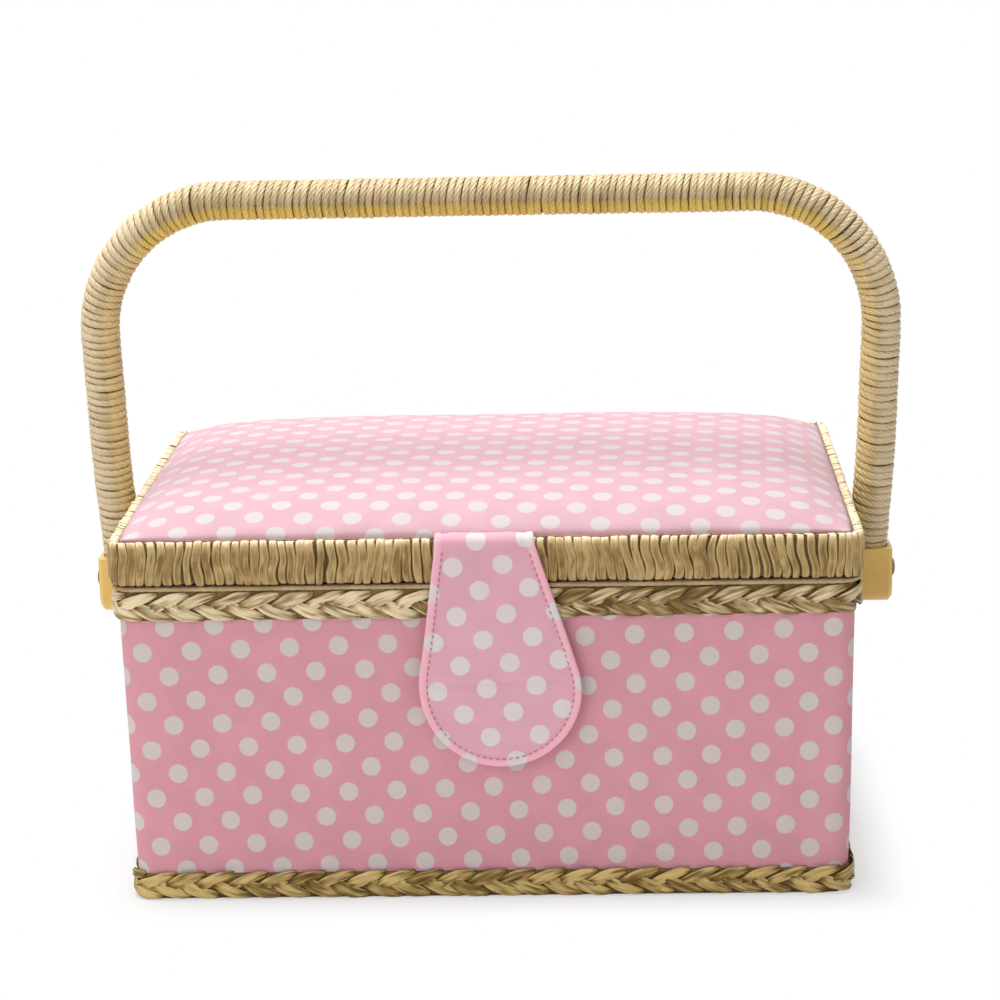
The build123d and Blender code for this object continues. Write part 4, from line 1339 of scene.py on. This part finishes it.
@dataclass(frozen=True)
class HandleLine:
    """The handle's middle line: straight runs joined by arcs, seen from the front."""

    runs: tuple = ((-163.1, 102.8, 0.0), (-163.1, 122.8, 120.0), (-166.3, 160.8, 300.0), (-170.7, 276.3, 56.0),
                   (170.7, 276.3, 56.0), (166.3, 160.8, 300.0), (163.1, 122.8, 120.0), (163.1, 102.8, 0.0))

    def points(self) -> list[Vector]:
        """Points along the line, about a millimetre apart."""
        spots = [(Vector((x, z)) * MM, r * MM) for x, z, r in self.runs]
        line = [spots[0][0]]
        for (before, _), (here, radius), (after, _) in zip(spots, spots[1:], spots[2:]):
            a, b = (before - here).normalized(), (after - here).normalized()
            half = a.angle(b) / 2
            reach = radius / tan(half)
            centre = here + (a + b).normalized() * (radius / sin(half))
            start, end = here + a * reach - centre, here + b * reach - centre
            turn = start.angle_signed(end)
            count = max(int(abs(turn) * radius / MM), 2)
            for k in range(count + 1):
                line.append(centre + Matrix.Rotation(-turn * k / count, 2) @ start)
        line.append(spots[-1][0])
        dense = [line[0]]
        for before, after in zip(line, line[1:]):
            count = max(int((after - before).length / MM), 1)
            dense += [before.lerp(after, k / count) for k in range(1, count + 1)]
        return dense


@dataclass
class HandleWinding:
    """Paper twine wound round the handle's core in one long helix."""

    pitch: float = 3.12 * MM
    radius: float = 8.7 * MM
    ply: float = 0.92 * MM
    kink: float = 264.0
    zigzag: float = 1.5 * MM
    turned_over: Pair = (0.7, 0.78)
    leg_top: Pair = (0.24, 0.31)
    leg_side: float = 0.385
    around: int = 18
    ring: tuple = (0, 30, 62, 90, 118, 150, 180, 270, 360)
    # Painted shade and glint round the strand's section: dark grooves, a pale glint towards one side and a dark hidden
    # back.
    tones: tuple = (-0.28, 0.2, 0.8, 0.6, 0.42, 0.12, -0.28, -0.5, -0.28)

    def build(self) -> Object:
        """Builds the winding as one strand from ferrule to ferrule."""
        line = HandleLine().points()
        sums = running(line)
        turns = round((sums[-1] - 2 * self.pitch) / self.pitch)

        def frame_at(s: float) -> tuple[Vector, Vector]:
            """Point of the middle line and the way out of the loop."""
            i, t = found(sums, s)
            point = line[i].lerp(line[i + 1], t)
            along = (line[min(i + 2, len(line) - 1)] - line[max(i - 1, 0)]).normalized()
            return Vector((point.x, 0, point.y)), Vector((-along.y, 0, along.x))

        def kinked(turn: float, width: float) -> Pair:
            """Share of a turn since the kink, and how near to the kink that is, 1 on it."""
            bent = (turn - self.kink / 360) % 1.0
            return bent, bell(min(bent, 1 - bent), 0, width)

        def leg(a: float) -> float:
            """1 on the handle's legs, 0 on its grip."""
            return 1 - smooth(min(a, 1 - a), *self.leg_top)

        def spot(a: float, b: float) -> Vector:
            """Place of a point of the strand: a along the helix, b round its section."""
            turn = a * turns
            bent, knee = kinked(turn, 0.045)
            zig = (1 - abs(bent - 0.5) * 4) * (1 - 2 * smooth(a, *self.turned_over)) * self.zigzag
            zig += ripple(turn * 0.9, 0.0, 2.2) * 0.42 * MM + ripple(turn * 5.3, 4.0, 0.0) * 0.26 * MM
            ring = radians(pick(self.ring, b))
            width = self.pitch / 2 * (1.05 + 0.22 * ripple(turn * 3.1, 7.0, 1.0))
            point, out = frame_at(self.pitch * (0.7 + turn) + zig + width * cos(ring))
            lift = ripple(turn * 1.7, 3.0, 5.0) * 0.24 * MM - 0.5 * MM * knee
            ply = self.ply * (1 + 0.25 * ripple(turn * 4.1, 9.0, 2.0))
            rho = min(self.radius - 0.1 * MM - self.ply + lift + ply * sin(ring), self.radius + 0.1 * MM)
            return point + (out * cos(2 * pi * turn) + Vector((0, 1, 0)) * sin(2 * pi * turn)) * rho

        def face_out(a: float, b: float) -> float:
            """How far a spot faces out of the loop."""
            value = 0.5 + 0.5 * cos(2 * pi * a * turns) + 0.09 * ripple(a * turns * 1.3, 0.0, 6.0)
            return max(value, self.leg_side * leg(a))

        def shade(a: float, b: float) -> float:
            """Painted shade in the grooves between the turns and along the knee, a painted glint on one side of each
            turn, painted light on the legs, and turns that differ a little at random.
            """
            k = round(b * (len(self.ring) - 1))
            own = 0.45 * ripple(a * turns * 1.1, 1.0, 8.0) + 0.5 * ripple(a * turns * 4.7, k * 0.9, 3.0)
            # Painted light on the legs and painted shade along the knee.
            value = self.tones[k] + 0.45 * leg(a) + own - 0.5 * kinked(a * turns, 0.05)[1]
            return min(max(value, -0.5), 1.1)

        bm = bmesh.new()
        steps = turns * self.around
        draped(bm, steps, len(self.ring) - 1, spot, lambda a, b: (b * 7 * MM, a * turns * 54 * MM), {
            TONE_AND_SHADE: shade, SIDE: face_out})
        capped(bm)
        return finished("handle_winding", bm, "handle", Straw.HANDLE_TWINE.make(), "twine", ("handle_wrap",))


@dataclass(frozen=True)
class SoftEdged:
    """A rigid part of the frame with its edges rounded."""

    name: str
    node: str
    body: str
    slot: str
    edge: float
    angle: float = 28.0

    def build(self, material: Material) -> Object:
        """Builds the rounded copy.

        Args:
            material: Its finish.

        Returns:
            The piece.
        """
        bm = bmesh.new()
        bm.from_mesh(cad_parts[self.node].data)
        bmesh.ops.remove_doubles(bm, verts=bm.verts[:], dist=1e-6)
        bmesh.ops.dissolve_limit(bm, angle_limit=radians(1.0), verts=bm.verts[:], edges=bm.edges[:])
        sharp = [e for e in bm.edges if e.is_manifold and e.calc_face_angle(0.0) > radians(self.angle)]
        bmesh.ops.bevel(bm, geom=sharp, offset=self.edge, offset_type="OFFSET", affect="EDGES", segments=2, profile=0.5,
                        material=-1, clamp_overlap=True)
        piece = finished(self.name, bm, self.body, material, self.slot, (self.node,))
        piece.data.set_sharp_from_angle(angle=radians(50))
        return piece


@dataclass
class Rivet:
    """A rivet with a domed head, through ferrule, washer and wall."""

    z: float = 110.8 * MM
    tail: float = 142.4 * MM
    shank: float = 1.6 * MM
    head: float = 4.0 * MM
    face: float = 173.4 * MM
    crown: float = 1.7 * MM

    def build(self, side: int, word: str, metal: Material) -> Object:
        """Spins one rivet.

        Args:
            side: -1 on the left, 1 on the right.
            word: The side's name.
            metal: Its finish.

        Returns:
            The piece.
        """
        outline = [(0.0, self.tail), (self.shank, self.tail), (self.shank, self.face), (self.head * 0.93, self.face),
                   (self.head, self.face + 0.25 * MM)]
        outline += [(self.head * cos(t), self.face + 0.3 * MM + (self.crown - 0.3 * MM) * sin(t))
                    for t in (radians(d) for d in (8, 25, 42, 58, 72, 83))]
        outline.append((0.0, self.face + self.crown))
        bm = bmesh.new()
        verts = [bm.verts.new((side * x, 0, self.z + r)) for r, x in outline]
        edges = [bm.edges.new(pair) for pair in zip(verts, verts[1:])]
        bmesh.ops.spin(bm, geom=verts + edges, cent=(0, 0, self.z), axis=(1, 0, 0), angle=2 * pi, steps=28,
                       use_merge=True)
        return finished(f"rivet_dome_{word}", bm, "base", metal, "brassed", (f"rivet_{word}",), weld=1e-5)


# The stage

@dataclass
class Studio:
    """Floor, backdrop, lamps and camera."""

    focal: float = 3110.0
    pixels: int = 1000
    sensor: float = 36.0
    azimuth: float = 2.0
    elevation: float = 13.0
    roll: float = -1.25
    distance: float = 1.357
    shift: tuple = (3.0 * MM, -6.9 * MM)
    aim: float = 150 * MM
    shaded: tuple = (148 * MM, 108 * MM, 0)
    shadow_fade: float = 30 * MM
    paper: float = 0.82
    ambient: float = 0.40

    def build(self) -> None:
        """Sets the whole stage."""
        self.floor()
        self.world()
        self.lamps()
        self.camera()
        bpy.context.scene.view_settings.view_transform = "Standard"

    def floor(self) -> None:
        """The pale floor, which keeps the object's shadow."""
        bm = bmesh.new()
        bmesh.ops.create_grid(bm, x_segments=4, y_segments=4, size=4.0)
        mesh = bpy.data.meshes.new("floor")
        bm.to_mesh(mesh)
        bm.free()
        r = Recipe("pale_floor", Roughness=0.9, Specular_IOR_Level=0.0)
        r.done((self.paper, self.paper, self.paper, 1))
        glow = r.add("Emission", {"Color": (1, 1, 1, 1), "Strength": 1.0})
        beside = r.vector("SUBTRACT", r.vector("ABSOLUTE", r.scaled(r.spot(), (1, 1, 0))), self.shaded)
        apart = r.vector("LENGTH", r.vector("MAXIMUM", beside), out="Value")
        share = r.steps(apart, 0.0, self.shadow_fade, (0.55, 1.0))
        mixed = r.add("MixShader", {0: r.math("MULTIPLY", r.seen(), share), 1: r.shader.outputs[0], 2: glow})
        r.feed(r.tree.nodes["Material Output"].inputs["Surface"], mixed)
        mesh.materials.append(r.material)
        linked("floor", mesh)

    def world(self) -> None:
        """Even light from all round, white where it is seen."""
        world = bpy.data.worlds.new("backdrop")
        bpy.context.scene.world = world
        world.use_nodes = True
        nodes = Nodes(world.node_tree)
        back = world.node_tree.nodes["Background"].inputs
        nodes.feed(back["Color"], (1, 1, 1, 1))
        nodes.feed(back["Strength"], nodes.add("MapRange", {0: nodes.seen(), 3: self.ambient, 4: 1.0}))

    def lamps(self) -> None:
        """A large soft lamp above and a weaker one in front, on the left."""
        for name, place, target, size, power in (
            ("top_lamp", (-0.25, 0.15, 1.5), (0, 0, 0.14), 1.0, 26.0),
            ("front_lamp", (-0.8, -1.6, 0.9), (0, 0, 0.1), 1.0, 8.2),
        ):
            lamp = bpy.data.lights.new(name, "AREA")
            lamp.shape = "SQUARE"
            lamp.size = size
            lamp.energy = power
            holder = linked(name, lamp)
            holder.location = place
            holder.rotation_mode = "QUATERNION"
            holder.rotation_quaternion = (Vector(target) - Vector(place)).to_track_quat("-Z", "Y")

    def camera(self) -> None:
        """The camera, at the photograph's viewing angle."""
        az, el, roll = (radians(v) for v in (self.azimuth, self.elevation, self.roll))
        back = Vector((sin(az) * cos(el), -cos(az) * cos(el), sin(el)))
        right = Vector((cos(az), sin(az), 0))
        up = back.cross(right)
        target = Vector((0, 0, self.aim)) + right * self.shift[0] + up * self.shift[1]
        right2 = right * cos(roll) + up * sin(roll)
        up2 = up * cos(roll) - right * sin(roll)
        camera = bpy.data.cameras.new("camera")
        camera.sensor_width = self.sensor
        camera.lens = self.focal / self.pixels * self.sensor
        camera.clip_start, camera.clip_end = 0.05, 20
        holder = linked("camera", camera)
        turn = Matrix((right2, up2, back)).transposed()
        holder.matrix_world = Matrix.Translation(target + back * self.distance) @ turn.to_4x4()
        bpy.context.scene.camera = holder


class SewingBox:
    """The whole box, sub-assembly by sub-assembly."""

    def __init__(self) -> None:
        """Makes the shared finishes."""
        self.body_cotton = DottedCotton("body_cotton", 20.57 * MM, 10.44 * MM, (2.72 * MM, 5.77 * MM), 0.0259).make()
        # A greyer, less saturated copy of the body's cotton: painted sheen on the lid's top.
        self.lid_cotton_painted_sheen = DottedCotton("lid_cotton_painted_sheen", 20.11 * MM, 9.67 * MM, (2.04 * MM, 2.87 * MM), -0.0507,
                                       ground=(0.62, 0.375, 0.425, 1), dot=(0.60, 0.53, 0.535, 1)).make()
        self.flap_cotton = DottedCotton("flap_cotton", 20.04 * MM, 10.28 * MM, (4.22 * MM, 9.25 * MM), 0.0508,
                                        ground=(0.755, 0.40, 0.478, 1), dot=(0.735, 0.652, 0.647, 1)).make()
        self.satin = Satin().make()
        self.hard = {finish: finish.make() for finish in Hard}

    def base(self) -> None:
        """Builds what rides on the base."""
        BodyCloth().build(self.body_cotton)
        Plait("upper_plait", 119.9 * MM, 132.0 * MM, 3.0 * MM, Straw.UPPER_PLAIT, "upper_braid", 11, 2.6 * MM,
              -0.34).build()
        Plait("lower_plait", 0.4 * MM, 12.0 * MM, 2.6 * MM, Straw.LOWER_PLAIT, "lower_braid", 23).build()
        RimCord().build()
        Well().build(self.satin)
        UnderCloth().build(self.hard[Hard.FELT])
        for side, word in ((-1, "left"), (1, "right")):
            Rivet().build(side, word, self.hard[Hard.BRONZE])

    def lid(self) -> None:
        """Builds what rides on the lid, and the flap that hangs from it."""
        RimWinding().build()
        PadCloth().build(self.lid_cotton_painted_sheen)
        LidSatin().build(self.satin)
        Flap().build(self.flap_cotton)

    def handle(self) -> None:
        """Builds what rides on the handle."""
        HandleWinding().build()
        for word in ("left", "right"):
            SoftEdged(f"ferrule_cap_{word}", f"ferrule_{word}", "handle", "amber_plastic", 0.7 * MM).build(
                self.hard[Hard.AMBER])

    def fittings(self) -> None:
        """Builds the tray, and gives the frame's own parts their finishes."""
        SoftEdged("moulded_tray", "tray", "tray", "tray_plastic", 0.35 * MM).build(self.hard[Hard.TRAY])
        finishes = {
            Hard.NICKEL: ("snap_base", "snap_flap", "hinge_base_left", "hinge_base_right", "hinge_lid_left",
                          "hinge_lid_right", "hinge_pin_left", "hinge_pin_right", "hinge_screws_base",
                          "hinge_screws_lid", "washer_left", "washer_right"),
            Hard.BOARD: ("base_walls", "floor_board", "lid_frame", "lid_board"),
            Hard.CANE: ("handle_core",),
        }
        for finish, nodes in finishes.items():
            for node in nodes:
                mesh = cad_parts[node].data
                mesh.materials.clear()
                mesh.materials.append(self.hard[finish])


def main() -> None:
    """Builds the looks and the stage."""
    logging.basicConfig(level=logging.INFO, format="%(message)s")
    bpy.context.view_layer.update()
    box = SewingBox()
    for part in (box.base, box.lid, box.handle, box.fittings):
        part()
        LOG.info("finished: %s", part.__name__)
    Studio().build()
    bpy.context.view_layer.update()


if __name__ == "__main__":
    main()
